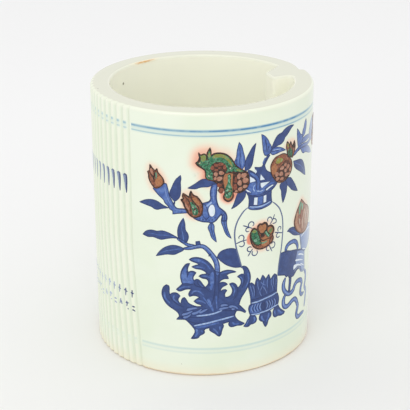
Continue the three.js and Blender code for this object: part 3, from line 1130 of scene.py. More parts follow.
# Brush ticks on the reeds, in two rows at their heights, with a few kinds that take turns
REED_TICKS = (
    (40.6, (((0, 2, -0.1, -2.4), (-1.1, 0.2, 1.1, 0.1)),
            ((0.2, 2.2, 0, -2.2), (-1.4, 0.4, -0.4, 0.9, 1.2, 0)),
            ((0.2, 2.6, -0.1, -2), (-1.2, 0.5, 1, 0)))),
    (33.0, (((-0.8, 0.3, 1.1, 0.4), (-0.8, -1.8, 0.2, -1.5, 1.2, -2.1)),
            ((0.1, 2.6, 0.3, 1, 0, -0.6), (-0.8, 1.4, 1.4, 1.6), (0.6, -1.4, 1.2, -2)),
            ((0.2, 2.4, -0.2, 0.6, -0.9, -1), (0.3, 1.4, 1, -0.8)))),
)
TICK_SWAY = 0.3
# Ticks and wedges are paler from reed to reed towards the left: painted glare
TICK_STRENGTH = 0.95
TICK_GLARE_FADE = 0.12
TICK_LEAST = 0.35
WEDGE_GLARE_FADE = 0.045
WEDGE_LEAST = 0.6


class PaintReedMarks(bpy.types.Operator):
    """Paints the wedges and the small brush marks on the reeds"""
    bl_idname = "pot.paint_reed_marks"
    bl_label = "Marks on the reeds"

    def execute(self, context):
        reeds = context.scene.pot_reeds
        pitch = reeds.pitch / MM
        wedges = Sheet()
        ticks = Sheet()
        for number in range(reeds.count):
            crest = reeds.start / MM - (number + 0.5) * pitch
            # Paler reed by reed towards the left: painted glare
            strength = max(WEDGE_LEAST, 1 - WEDGE_GLARE_FADE * number)
            wedges.across = crest
            wedges.fill("leaf", outline((-2.9, 104, 0, 104.4), (0.1, 100, -0.4, 95.2), (-2.3, 100)),
                        density=0.72 * strength)
            wedges.stroke("line", (-2.4, 103.9, -1.1, 104.4, 0.4, 104.1), 0.9, 1.0, density=0.9 * strength)
            wedges.stroke("line", (0, 104.4, 0.1, 100.2, -0.2, 94.8), 1.1, 0.8, density=0.95 * strength)
            # Paler reed by reed towards the left: painted glare
            strength = max(TICK_LEAST, TICK_STRENGTH - TICK_GLARE_FADE * number)
            for up, marks in REED_TICKS:
                ticks.across = crest + leaning(up)
                ticks.up = up + TICK_SWAY * math.sin(5 * number)
                ticks.strokes("line", marks[number % len(marks)], 0.85, 0.6, density=strength)
        wedges.finish("painting_wedges", "underglaze_blue", REED_STRIP)
        ticks.finish("painting_reed_ticks", "underglaze_blue", REED_STRIP)
        return {"FINISHED"}


class PaintBranches(bpy.types.Operator):
    """Paints the stems and leaves of the fruiting branches"""
    bl_idname = "pot.paint_branches"
    bl_label = "Branches and leaves"

    def execute(self, context):
        return paint("painting_branches", "underglaze_blue", upper_left_branch, fruit_stems, lower_left_spray,
                     middle_leaves, right_leaves)


def upper_left_branch(sheet):
    """The branch that carries the two left buds, with its leaves"""
    sheet.fill("wash", outline(
        (-25.6, 100.5, -24.6, 99.4, -22.6, 97.4, -20.2, 95.4, -19.4, 93.8, -17.6, 92, -17, 90.8),
        (-15.6, 90, -15.5, 88.4), (-13.4, 88.9, -11, 89.2, -8, 89.6), (-8.6, 91.4),
        (-11, 91.5, -13.4, 91.6, -14.8, 93, -16, 95.4, -17.2, 98, -17.7, 100.4, -18.5, 103.7),
        (-20.2, 103.9, -23, 102)), "line")
    sheet.stroke("leaf", (-18.9, 94.6, -16.4, 91.6, -14, 90, -9, 90), 1.2, 0.8)
    sheet.stroke("leaf", (-24, 100.2, -21.4, 97.6, -18.6, 96), 0.9, 0.6)
    sheet.stroke("light", (-19.4, 102.2, -18.8, 98.4, -17.4, 94.8, -15.6, 92.4), 0.6, 0.4, density=0.65)
    sheet.stroke("light", (-15, 91.2, -12, 90.6, -9, 90.8), 0.5, 0.3, density=0.65)
    sheet.leaf(
        (-17.4, 91.4), (-33.5, 92), (-19.8, 92.2, -21.2, 92.9, -23, 93.9, -25, 94.5, -27, 94.5, -30, 93.8),
        (-20.4, 90.8, -22, 90.3, -23.4, 89.8, -25, 89.9, -26.6, 90.7, -29, 91.2), vein=None)
    sheet.leaf(
        (-14.6, 95), (-11.5, 108.7),
        (-15.8, 96.4, -16.8, 98.2, -16.9, 99.8, -16, 101.8, -15, 104.2, -13.8, 106.4, -12.4, 107.8),
        (-13.4, 95.8, -12.2, 97.2, -11.6, 99, -11.4, 102, -11.5, 105, -11.2, 107.2), vein="leaf")
    sheet.stroke("line", (-14.5, 95.2, -15, 92.8), 0.8)
    sheet.leaf(
        (6.4, 105.2), (-8, 102.3), (3, 106.4, 0.8, 107, -0.8, 107, -2.4, 106.2, -4.2, 104.8),
        (3.4, 103.7, 2, 103.1, 0, 103, -2, 102.8, -4, 102.1, -6, 102), vein=None)


def fruit_stems(sheet):
    """The stems below the big pomegranate"""
    sheet.fill("wash", outline(
        (3.9, 104.4, 3.2, 102, 2.9, 99.6, 3.1, 97, 2.4, 95.6, 0.6, 94.9, -1.2, 94.4),
        (-1.2, 92, -1.4, 89.6, -2.6, 88, -5.6, 87.2), (-3.4, 85.9, -0.8, 85.1, 2, 84.8, 3.4, 84.2),
        (5.4, 85.4, 7, 87.4, 8.3, 88.7), (8.7, 87.2, 8.4, 85), (10.8, 85),
        (10.9, 87, 10.2, 89.2, 8.6, 90.9, 7, 92.4, 6.1, 94.8, 5.7, 97.6, 5.9, 101, 6.2, 104.4)), "line", 0.7)
    sheet.fill("leaf", outline(
        (-0.9, 94, 0.4, 93.8, 1.2, 92, 1.6, 89.8, 2.3, 87.6), (0.8, 86.4, -0.8, 88.2, -0.9, 91)), "line",
        0.4)
    sheet.stroke("leaf", (-3.4, 86.8, 0, 86, 3.6, 85.8, 5.4, 87.4), 0.9, 0.7)
    sheet.stroke("light", (4.6, 103, 4.3, 99, 4.6, 95.6), 0.6, 0.5, density=0.65)
    sheet.stroke("leaf", (5.6, 92.6, 5.9, 89.4, 4.8, 86.8), 0.7)
    sheet.fill("veil", rounded(
        2.2, 92.4, 3, 93.6, 4, 93.8, 4.8, 92.6, 5.1, 90.6, 4.8, 88.6, 4, 87.7, 2.9, 87.9, 2.2, 89.6,
        1.9, 91.2), "line", 0.4)
    sheet.stroke("light", (0.9, 93, 2.2, 94, 3.6, 95.2), 0.9)
    sheet.leaf(
        (3.2, 84.8), (5.8, 74), (1.7, 82, 2.5, 79.5, 3.5, 76.5), (4.6, 83, 4.7, 80, 5.3, 77), "wash", "line")
    sheet.leaf(
        (10, 89.4), (13.2, 75.4), (8.5, 87, 8.2, 84.5, 9, 82, 10, 79, 11.2, 77),
        (11, 87, 10.8, 84, 11.2, 81, 12, 78.5), "wash", "line")


def lower_left_spray(sheet):
    """The low stem with three leaves"""
    sheet.leaf(
        (-12.6, 75.8), (-32, 75.2), (-15, 77, -18, 78.3, -21, 78.9, -24, 78.3, -27, 78.4, -30, 77.3),
        (-16, 75.7, -19, 75, -22, 74.2, -26, 74.9, -29, 74.5))
    sheet.leaf(
        (-10.6, 73.6), (-10.3, 86.7), (-12.5, 75.5, -13.2, 77.5, -13.1, 81, -12, 84),
        (-8.9, 74, -7.9, 76.5, -8.2, 78.5, -9.3, 80.5, -9.6, 84))
    sheet.leaf(
        (-10, 70.4), (-24.7, 65), (-12, 71.4, -14.5, 71.9, -17, 71.6, -20, 70.2, -22.5, 68),
        (-10.8, 69.4, -12.6, 68.3, -15, 67, -19, 66.7, -22, 65.8))
    sheet.stroke("wash", (-13.5, 75.9, -10.5, 74, -8, 72.6, -4.5, 72), 1.3, 1.5, edge="line")
    stem = (-10.6, 70.5, -7, 71, -4, 71.8, -1, 72, 1.2, 70.4, 3.2, 67.8, 5, 65, 6, 62, 6.3, 56)
    sheet.stroke("wash", stem, 1.5, 2.6, edge="line")
    sheet.stroke("leaf", (0.4, 70.8, 2.8, 68, 4.6, 65, 5.4, 62, 5.8, 58), 0.6)
    sheet.stroke("light", (
        -8, 71, -4, 72, -1.4, 72.2, 1, 71, 3.4, 68.2, 5.6, 64.6, 6.6, 60), 0.5, 0.6, density=0.65)
    sheet.stroke("leaf", (-2.9, 71.8, -3.4, 74.6), 2.3, 1.9, blunt=True, edge="line")
    sheet.stroke("line", (3, 68, 1.9, 66.6), 1.1, 0.7)
    sheet.fill("leaf", outline(
        (6.2, 66, 7, 67.8, 8.6, 69.2, 11.5, 70, 14, 69.9, 15.8, 69.2), (16.8, 65.2, 18.6, 59.4),
        (15, 59.7, 11, 61.4, 8, 63.8)), "line")


def middle_leaves(sheet):
    """Leaves round the vase's mouth"""
    sheet.leaf(
        (18.2, 110.4), (17, 124.6), (15.6, 111.8, 14.6, 114.4, 15.6, 117.2, 16, 120.6),
        (19.6, 112, 20, 115.6, 19.1, 119.6, 18.3, 122.6), "wash", "line")
    sheet.stroke("light", (18.6, 112.4, 18.8, 115.6, 18.2, 119), 0.7, 0.4, density=0.65)
    sheet.stroke("leaf", (16.4, 112.4, 15.4, 114.6, 16.4, 117), 1, 0.5)
    sheet.leaf(
        (20, 109.6), (25.8, 123), (20.1, 113.4, 20.8, 116, 22.2, 118.5, 24, 121.3),
        (22.5, 110.5, 23.8, 112.5, 24.5, 116, 25.2, 119.6), vein=None)
    sheet.leaf(
        (20.4, 99.6), (13.2, 90.9), (16.8, 99, 15.9, 97.6, 15, 95, 14.2, 92.8),
        (20.4, 97, 19.4, 95.2, 18, 93.8, 15.6, 92), vein=None)
    sheet.leaf(
        (32.6, 115.6), (28.9, 126.8), (31, 115.8, 30, 118, 29.6, 121, 29.2, 124.4),
        (34.9, 117, 34.6, 120, 33.6, 121.6, 32.6, 123.6, 30.6, 125.8), "wash", None)
    sheet.strokes("line", (
        (31, 124, 31.8, 120.4, 31.6, 117), (33.4, 120.4, 32.6, 118.6, 32.8, 116.6)), 0.6, 0.4)
    sheet.leaf(
        (34.4, 117.2), (50.7, 126.9),
        (35.3, 119.6, 37, 122.6, 38.4, 124.2, 40, 124.9, 41.6, 125.2, 43.4, 126.4, 46, 127.2, 48.6, 127.3),
        (36.4, 118.6, 38.8, 119.2, 41.4, 119.6, 43, 120.7, 44, 122.3, 45.2, 123, 47, 124.4, 48.8, 126),
        vein=None)
    sheet.leaf(
        (33.8, 117), (44.5, 115.6), (36, 118.5, 38.5, 118.5, 41, 117.7, 43, 116.6),
        (35.6, 115.2, 38, 115.2, 41, 115.6), "wash", "line")
    sheet.stroke("light", (36, 117.4, 39, 117.2, 41, 116.8), 0.5, 0.3)


def right_leaves(sheet):
    """Leaves to the right of the vase"""
    sheet.leaf(
        (56, 112), (54, 124), (55, 114.6, 54.2, 118, 53.9, 121),
        (60.4, 117, 59.6, 119.2, 57.6, 120.2, 55.6, 122.4), "wash", "leaf")
    sheet.leaf(
        (59.6, 118), (63.6, 126.6), (59.6, 121, 61, 122.8, 61.9, 124.8),
        (62.6, 119, 64.1, 121.6, 64.5, 124.4), "wash", None)
    sheet.leaf((57, 115.4), (72, 116), (61, 117.4, 66, 117.4), (62.5, 114.8, 67, 114.8), "wash", "leaf")
    sheet.leaf(
        (57.4, 112.8), (75, 105.4), (62, 112.2, 67, 111.4, 71, 109), (60.6, 109.4, 64, 109, 69, 107), "wash",
        "leaf")
    sheet.leaf((70, 112), (76.5, 124.6), (69, 117, 71.6, 122), (75, 115, 77.4, 120), "wash", "leaf")
    sheet.stroke("wash", (
        49, 111.6, 52, 111.8, 55, 113, 60, 113.6, 66, 112.8, 74, 113.2, 82, 110), 1.8, 1.4, edge="line")
    sheet.leaf(
        (51, 108), (64.5, 96.5), (54, 107.6, 57, 107.2, 59.8, 106, 62, 103.5, 63.7, 100),
        (52, 105, 54, 103, 58, 100.5, 62, 97.8), "leaf", "wash")
    sheet.leaf(
        (44.6, 100), (43.2, 88.2), (41, 98.6, 40.8, 97, 41.8, 95, 42, 93, 42.6, 90),
        (46, 97.5, 45.8, 94, 45.2, 92, 44.3, 90), vein=None)
    sheet.leaf(
        (44.6, 100.4), (55.5, 91), (48.5, 100.2, 50.7, 98, 52.7, 95.5, 54.3, 93),
        (46, 97.3, 48, 95.3, 50, 93.3, 53, 91.8), vein=None)


class PaintVase(bpy.types.Operator):
    """Paints the vase with its stems, its neck and the curls on its body"""
    bl_idname = "pot.paint_vase"
    bl_label = "Vase"

    def execute(self, context):
        return paint("painting_vase", "underglaze_blue", vase_mouth, vase_with_curls)


def vase_with_curls(sheet):
    """The neck, the collar, both sides of the body and six groups of curls"""
    sheet.fill("leaf", outline(
        (21.9, 96.6, 22.3, 94, 22.1, 90.9), (28.8, 88.8, 35.6, 91), (35.2, 94, 35.3, 97.2), (29, 96)),
        "line", 0.4)
    sheet.fill("wash", outline((27.3, 95), (30, 95), (29.9, 91), (27.3, 90.8)))
    sheet.fill("veil", outline((25.2, 95.1), (27, 94.9), (26.8, 91), (24.9, 91.4)), "line", 0.35)
    sheet.fill("veil", outline((30.5, 95), (32.1, 95.2), (32, 91.7), (30.5, 91.3)), "line", 0.35)
    collar = (22, 90.6, 25, 89.8, 28.6, 89.4, 32, 89.9, 35.5, 90.9)
    sheet.stroke("wash", collar, 2, edge="line")
    sheet.stroke("light", (22.6, 90.8, 25, 90.2, 28.6, 89.9, 32, 90.4, 34.8, 91.2), 0.7)
    sheet.stroke("wash", (23, 97.4, 26, 96.4, 29, 96, 32, 96.3, 35.2, 97.4), 0.9)
    sheet.strokes("line", (
        (22.2, 90.7, 20, 89.3, 18.2, 87.2, 16.4, 84.2, 15.3, 81, 14.9, 78, 15, 75, 15.4, 72, 16, 69,
        17, 65.4, 18.2, 61, 19, 58.6),
        (35.5, 91, 38, 89, 40.6, 86.2, 42, 83.4, 43, 80.4, 43.4, 77, 43.5, 73, 43.2, 69, 42.8, 65, 42, 60.4,
        41, 55, 40.4, 49.6)), 0.75, density=0.8)
    for curls in (
            ((22.2, 79.8, 22.2, 81.6, 23.4, 82.7, 24.9, 82.1, 25, 80.8, 24.3, 80.3),
            (22.6, 79.8, 21, 79.6, 20.7, 78.6, 21.4, 77.8, 22.6, 77.9), (19.2, 81.4, 22.4, 80, 24.3, 79)),
            ((19.4, 73.6, 19.8, 75, 19, 76.3, 17.8, 76.3, 17, 75.4, 17.3, 74.6),
            (19.3, 73.2, 20, 72, 19.6, 70.6, 18.4, 70.3, 17.1, 71), (15.6, 72.2, 18.6, 73.2, 21.4, 73.5)),
            ((23.6, 66.9, 22.4, 67, 21.6, 68, 22, 69.2, 23.4, 69.4, 24, 68.8),
            (24.6, 67, 24.2, 65.6, 25, 64.4, 26.4, 64.4, 27.3, 65.6, 26.9, 67),
            (22, 64.5, 23.4, 66.6, 24.6, 68.2)),
            ((35, 66.4, 34.4, 67.6, 33.2, 67.6, 32.5, 66.4, 33.2, 65.2, 34.6, 65.2),
            (35.4, 66, 37, 65.9, 38, 67, 37.7, 68.6, 36.4, 68.9, 35.8, 68),
            (34.4, 67.8, 35.2, 66, 36.2, 64)),
            ((40.2, 73.6, 39.9, 75, 40.6, 76, 41.8, 75.8, 42.1, 74.9, 41.4, 74.4),
            (40.4, 73, 39.2, 72.4, 39, 71.2, 40, 70.5, 41.4, 70.9), (37.8, 73.8, 40.2, 73.1, 43.4, 72)),
            ((35.9, 81.4, 35.2, 82.6, 34, 82.9, 33.1, 82, 33.4, 80.6),
            (35.6, 81, 37.2, 81.4, 38.5, 80.6, 38.6, 79.2, 37.2, 78.9, 36.2, 79.1),
            (34.6, 79, 36, 80.6, 37.6, 83.7))):
        for line in curls:
            sheet.stroke("line", line, 0.6, 0.5, density=0.9)


def vase_mouth(sheet):
    """The wide mouth, its folds and the light windows in them"""
    sheet.fill("leaf", outline(
        (20, 99.4, 21, 100.8, 21.8, 102.4, 22.4, 103.2), (22.2, 106.8), (21.4, 108.2, 21.8, 109.8),
        (23.4, 109.2, 24.8, 108.2, 26.2, 107.6), (25.9, 109, 25.3, 110.8), (28, 110.2, 29.4, 110.4),
        (31, 113, 32.6, 116), (34, 115.4), (32.2, 113, 30.9, 110.8),
        (31.4, 109, 32.6, 107.4, 34.2, 106.4, 35.6, 104.2, 37.4, 101.6, 39, 100), (37.4, 98.4, 35.4, 97),
        (29, 95.4, 21.9, 96.6), (21, 98.2)), "line", 0.45)
    sheet.fill("wash", rounded(
        22.4, 98.6, 21.8, 100.6, 22.8, 102.6, 25, 103, 26.6, 102, 28, 100, 30.4, 99, 31.2, 97.8, 28.6, 96.6,
        24.6, 97.2))
    sheet.stroke("wash", (
        22.4, 108.6, 24.6, 106.9, 26.4, 105.4, 27.4, 103, 27.2, 100, 28, 98), 1.5, 1.9, edge="line")
    sheet.stroke("wash", (31.4, 114.6, 29.9, 111.6), 1.2, 1.2)
    sheet.stroke("wash", (29.4, 98.6, 32, 99.8, 35, 100.6, 37, 100.6), 1.3, 0.8)
    for window in (
            (22.7, 106.4, 24.8, 105, 25.8, 103.6, 22.8, 103.3),
            (25, 109.7, 26, 109.4, 26.4, 108.2, 25.6, 107.5), (28.7, 106.5, 28.3, 103.6, 31.1, 103.4),
            (28.6, 102.1, 31.4, 101.9, 34, 101.7, 31.6, 100.5, 29.4, 99.3, 28.7, 100.4),
            (20.2, 100.2, 21.6, 99.6, 23.4, 98.1, 21.4, 98.8)):
        sheet.fill("veil", points_of(window))
    sheet.stroke("veil", (31.8, 97.7, 34, 98.8, 36.4, 99.5), 0.9, 0.6)
    sheet.stroke("light", (25.4, 101.8, 24.6, 100, 25.4, 98.2), 0.5)
    sheet.stroke("light", (26.4, 98.4, 28.6, 97.8, 30.4, 98.2), 0.7, 0.4)


class PaintFlower(bpy.types.Operator):
    """Paints the copper flower on the vase's body"""
    bl_idname = "pot.paint_flower"
    bl_label = "Flower on the vase"

    def execute(self, context):
        return paint("painting_flower", "underglaze_red", vase_flower)


def vase_flower(sheet):
    """The flower's petals in copper that fired brown, amber and green"""
    sheet.halo((
        24.2, 78, 29.6, 81, 35.4, 79, 37.4, 75, 36.4, 70, 31, 67.2, 25.6, 69, 23.4, 73.6), 3.4, 0.5,
        (-0.5, 0))
    sheet.halo((22.8, 76.6, 21.8, 74.4, 22, 71.6, 23.6, 71), 1.3, 0.95)
    sheet.fill("copper", rounded(
        27.4, 77.6, 27.2, 79.4, 28.4, 80.6, 29.8, 80.3, 31, 80.8, 32.6, 80.2, 33.2, 78.6, 35.6, 78.3,
        37, 76.8, 37.2, 75, 36.4, 73.2, 36.9, 71.2, 36, 69.4, 34, 68.2, 31, 67.2, 28, 67.3, 25.2, 69,
        23.8, 71.6, 23.2, 74.4, 23.4, 77, 25, 78.9), "outline", 0.7)
    sheet.fill("amber", rounded(
        27.6, 77.6, 27.6, 79.2, 28.6, 80.2, 29.8, 79.8, 31, 80.3, 32.2, 79.6, 32.6, 78, 31.6, 75.8,
        29.6, 75.2, 28.4, 76), "outline", 0.5)
    sheet.fill("amber", rounded(
        33.2, 78, 35, 78.1, 36.5, 76.6, 36.7, 75, 35.6, 73.6, 34.2, 74.2, 32.8, 76), "outline", 0.5)
    sheet.fill("yellow", oval((35, 75.6), 1, 1.4, -0.5, 0.1), density=0.7)
    sheet.fill("amber", rounded(
        29.8, 73.2, 31.4, 73.4, 34.2, 71.8, 35, 70, 33.4, 68.6, 30.8, 68.2, 29.4, 70))
    sheet.fill("green", rounded(
        23.6, 77.2, 24.8, 78.5, 26.4, 78.2, 27.4, 76.6, 28.4, 74, 29, 71.6, 29.2, 69.8, 27.4, 69.4,
        25.4, 70.6, 24, 73, 23.4, 75.4), "outline", 0.6)
    sheet.fill("yellow", oval((25.3, 77.2), 1.1, 0.9, wobble=0.08), density=0.8)
    sheet.fill("verdigris", oval((26, 72.2), 0.7, 0.9, 0.5, 0.1), density=0.9)
    sheet.stroke("green", (31.6, 76.6, 32.8, 74.4, 34.4, 72.6), 2, 1.4)
    sheet.stroke("verdigris", (32, 76, 33, 74.2, 34, 72.8), 0.8, 0.5)
    sheet.stroke("green", (28.4, 70.4, 31, 70, 33, 70.6), 1, 0.6, density=0.7)
    sheet.strokes("outline", (
        (33.2, 78.4, 32.4, 76.6, 30.8, 75.6), (29, 72.4, 30.4, 71.4, 32.6, 71.6, 35.4, 71.8),
        (34.6, 68.8, 34.6, 70.4, 35.6, 72, 36.6, 73), (27.6, 77.6, 28.6, 75.8, 29.4, 74.8)), 0.6, 0.4)
    sheet.fill("outline", oval((30.2, 74.3), 1.3, 1.2, wobble=0.1))


class PaintFruit(bpy.types.Operator):
    """Paints the copper buds and pomegranates, and the pink that bled out of them"""
    bl_idname = "pot.paint_fruit"
    bl_label = "Buds and fruit"

    def execute(self, context):
        return paint("painting_fruit", "underglaze_red", bled_copper, left_buds, open_pomegranate,
                     right_pomegranate)


def bled_copper(sheet):
    """Salmon pink round the fruit and the buds"""
    sheet.halo((
        -3.8, 115, -2.8, 119.6, 1.6, 121.2, 6, 120, 11, 118.8, 15, 114.4, 18, 111, 12, 107, 5, 105.6,
        0.8, 107, 0.2, 111.4), 6.2, 0.62, (-0.4, -0.2))
    sheet.halo((8.4, 100, 9, 96.6, 11.8, 94.9, 14.4, 96.8, 15.4, 99.4, 12, 101.6), 2.8, 0.9)
    sheet.halo((
        -28.2, 107, -27, 111.8, -23.4, 110.6, -19.8, 105, -20.4, 102, -24.6, 100.2, -27.2, 103), 3.8, 0.4,
        (0.3, 0))
    sheet.halo((
        -11, 96, -10, 99.2, -6.6, 100.6, -3, 98.2, -0.9, 94, -1.2, 89, -4.6, 87, -8, 88.8), 3.2, 0.4,
        (-0.2, -0.2))
    sheet.halo((44.6, 117, 46.6, 119, 50, 119, 52.2, 116.6, 51, 113, 46.6, 112.6), 3.2, 0.42)
    sheet.halo((35.4, 112, 39.4, 114, 43, 114, 45, 100.4, 40, 99.6, 35.4, 104), 2.6, 0.22)


def left_buds(sheet):
    """The two buds at the left"""
    sheet.fill("copper", outline(
        (-25.2, 101.2, -26.9, 103.4, -27.8, 105.5, -27.9, 107.4, -28.4, 108.8), (-27.4, 109.4, -27, 112.6),
        (-25.9, 111, -25, 110.2, -24.3, 109.6), (-23.3, 111),
        (-22.9, 109.2, -21.6, 107.8, -20.2, 106, -19.8, 104.2, -20.4, 103.2, -22.2, 101.6, -24, 100.8)),
        "outline", 0.6)
    sheet.fill("amber", oval((-22.4, 104.6), 1.9, 2.6, -0.4, 0.08))
    sheet.fill("seed", oval((-26.2, 109.2), 0.7, 1.7, 0.2, 0.06))
    sheet.stroke("outline", (-27.2, 109, -26.2, 107.2, -25.3, 106, -24.8, 103.8), 0.9, 0.6)
    sheet.stroke("outline", (-24.2, 110.2, -24.6, 108, -25, 106), 0.7, 0.9)
    sheet.stroke("green", (-23.9, 109, -23.7, 107, -24, 105.6), 0.9, 0.5, density=0.8)
    sheet.stroke("outline", (-27, 111.6, -26, 109.8, -24.8, 109), 0.6, 0.5)
    sheet.fill("copper", outline(
        (-4, 87.3, -6, 87.6, -7.8, 89.2, -9, 91.2, -9.9, 93.4, -10.4, 94.8, -11.4, 96.2), (-10, 96.8),
        (-10.6, 98, -10.3, 99.5), (-8.8, 98.6, -7.4, 97.6), (-7, 99.4, -6.5, 100.9),
        (-5.8, 99.4, -5, 98.6, -3.6, 98, -2.4, 96.6, -1.2, 94.4, -0.9, 92, -1.2, 90, -1.8, 88.2)), "outline",
        0.7)
    sheet.fill("amber", rounded(-6, 97.4, -4.4, 97.4, -2.8, 95.6, -2.2, 93.6, -3.4, 93.6, -5, 95.4))
    sheet.fill("seed", rounded(-9.4, 95, -8.4, 93.6, -7.2, 91, -8.2, 91.4, -9.2, 93.2))
    sheet.fill("green", rounded(-7, 95, -6, 95.4, -4, 93, -3, 90.4, -3.6, 88.6, -5.4, 88.6, -6, 91))
    for place in ((-5.6, 92.6), (-4.6, 91), (-4.8, 89.8)):
        sheet.fill("verdigris", oval(place, 0.4, 0.35, place[0], 0.15, count=10), density=0.7)
    sheet.fill("outline", oval((-4.8, 91.4), 0.4, 0.5))
    sheet.strokes("outline", (
        (-6.6, 100.2, -6.6, 98.4, -6, 96.4, -4.6, 94.6, -3, 92.6, -2.4, 89.6),
        (-10.3, 99, -9, 97.4, -7.6, 95.8, -6.8, 93.4, -6.6, 90),
        (-11, 96.2, -10, 94.4, -9, 92.4, -7.6, 89.6)), 0.8, 0.5)


def open_pomegranate(sheet):
    """The big fruit, split open on its seeds"""
    sheet.fill("green", outline(
        (-2.2, 118, -2.7, 120.4), (-1.6, 119.2, 0, 119.8, 1.2, 118.8), (1.6, 120.6, 2.8, 122.8),
        (3.2, 121, 3.4, 119, 5, 119.9, 7.5, 120, 10, 119.4, 12, 118, 13.8, 115.8, 15, 113.6, 16.6, 112,
        18.4, 110.6, 20.4, 109.4), (17, 109.2, 14, 109.8, 10, 109.6), (7, 106),
        (5, 105.7, 3.4, 106.4, 2, 106.6),
        (0.8, 107.6, 0.6, 109.8, 0.2, 111.8, -1.4, 112.8, -3, 113.8, -4.1, 115.2), (-3, 116, -2.2, 118)),
        "outline", 0.6)
    sheet.fill("yellow", rounded(
        -1.8, 116.6, -1.7, 119, -0.4, 119.9, 0.8, 118.9, 0.9, 117.2, -0.6, 115.8), density=0.8)
    sheet.fill("yellow", rounded(-2.9, 115.6, -2.4, 116.4, -1.2, 115.2, -2.2, 114.4), density=0.55)
    sheet.fill("yellow", rounded(1.8, 118.2, 2.3, 120.4, 2.9, 119.6, 2.9, 118))
    sheet.stroke("yellow", (4, 117.8, 6.4, 118.7, 9.2, 118.2, 11.8, 116, 13.6, 112.6), 2, 0.9, density=0.85)
    sheet.stroke("yellow", (15.6, 111, 18, 109.9), 1.2, 0.8, density=0.8)
    for place in ((-2.2, 115.2), (2.2, 108.6), (12.6, 112)):
        sheet.fill("verdigris", oval(place, 0.5, 0.35, place[0], 0.15, count=10), density=0.6)
    sheet.strokes("outline", (
        (3.2, 118.9, 5, 119.8, 7.5, 119.9, 10, 119.3, 12, 117.9, 13.8, 115.7, 15, 113.5, 16.6, 111.9,
        18.4, 110.5), (-3.9, 115.2, -2.6, 113.8, -1, 112.6, 0.3, 111.4), (1.2, 119.4, 1.3, 117.8, 1, 116.4),
        (-2.1, 118.6, -2, 116.8, -2.8, 115)), 0.9, 0.6)
    sheet.fill("outline", outline(
        (3.2, 113.4, 4.8, 115.2, 7.4, 115.5, 9.8, 114.2, 11.2, 111.6),
        (10.2, 109.6, 9.2, 107.6, 9, 105, 9.4, 102.6, 9.2, 100.4, 8.4, 99.4, 7.4, 99.6, 6.4, 101),
        (7, 102.6, 6.2, 104.2, 4.4, 105.8, 3.9, 108, 4.1, 110, 3.2, 111.6)))
    sheet.fill("outline", outline(
        (14, 109.2, 16.4, 110, 18.4, 109.2, 20.6, 109.6, 21.8, 108.4, 22.5, 105.8, 22.3, 103, 21.4, 101,
        19.6, 99.5, 17.6, 98.7, 15.4, 99, 14, 99.6), (13.6, 104)))
    sheet.fill("amber", outline(
        (9.1, 109.4, 8.9, 106, 9.4, 103, 9.9, 100, 9.5, 98), (10, 96.2, 11.7, 95.2, 13.4, 96.4, 14, 98.4),
        (14, 101, 14.1, 104, 14.8, 107, 15.3, 109), (12.2, 109.7)), "outline", 0.5)
    sheet.stroke("outline", (9.3, 98.6, 9.7, 96.4, 11.7, 95.1, 13.5, 96.2, 14.3, 98.4), 0.9)
    sheet.fill("green", rounded(
        11.2, 108.6, 11.3, 105, 10.4, 102.6, 9.7, 100.4, 9.9, 97.8, 11, 96.6, 12.6, 96.8, 13.6, 98.6,
        13.5, 101.4, 12.8, 104, 12.9, 107, 12.6, 109))
    for middle, wide, high in (
            ((12.2, 99), 0.7, 0.6), ((11.2, 100.8), 0.5, 0.5), ((12.1, 102.6), 0.6, 0.7),
            ((12, 105.6), 0.4, 1), ((10.8, 98.2), 0.4, 0.5), ((12, 108), 0.4, 0.5)):
        sheet.fill("verdigris", oval(middle, wide, high, 0.2, 0.12))
    sheet.seeds("russet", [
        (3.9, 112.7, 0.9, 1), (5.8, 113.9, 1.1, 0.8), (8, 114.3, 1.2, 0.8), (9.8, 112.8, 0.8, 1.1),
        (7.2, 112.6, 0.7, 0.5), (7.2, 103.7, 1.1, 1), (8.1, 101, 1.1, 1.3), (15, 102.2, 0.9, 1.6),
        (5.7, 111.5, 0.9, 0.6), (15.3, 105.6, 0.7, 1.4)])
    sheet.seeds("seed", [
        (5.5, 109.4, 0.9, 1.1), (8.2, 109.9, 1.2, 1), (7.3, 107, 1.3, 1.1), (5.2, 107.2, 0.7, 0.8),
        (16.9, 107.4, 0.9, 1.5), (19.4, 107.6, 1.4, 1.2), (20.3, 104.9, 1.6, 1.3), (17.3, 104, 1.1, 1.4),
        (17.6, 100.8, 1.1, 1), (20.1, 101.8, 1.1, 0.9), (15.6, 99.9, 0.7, 0.6)])


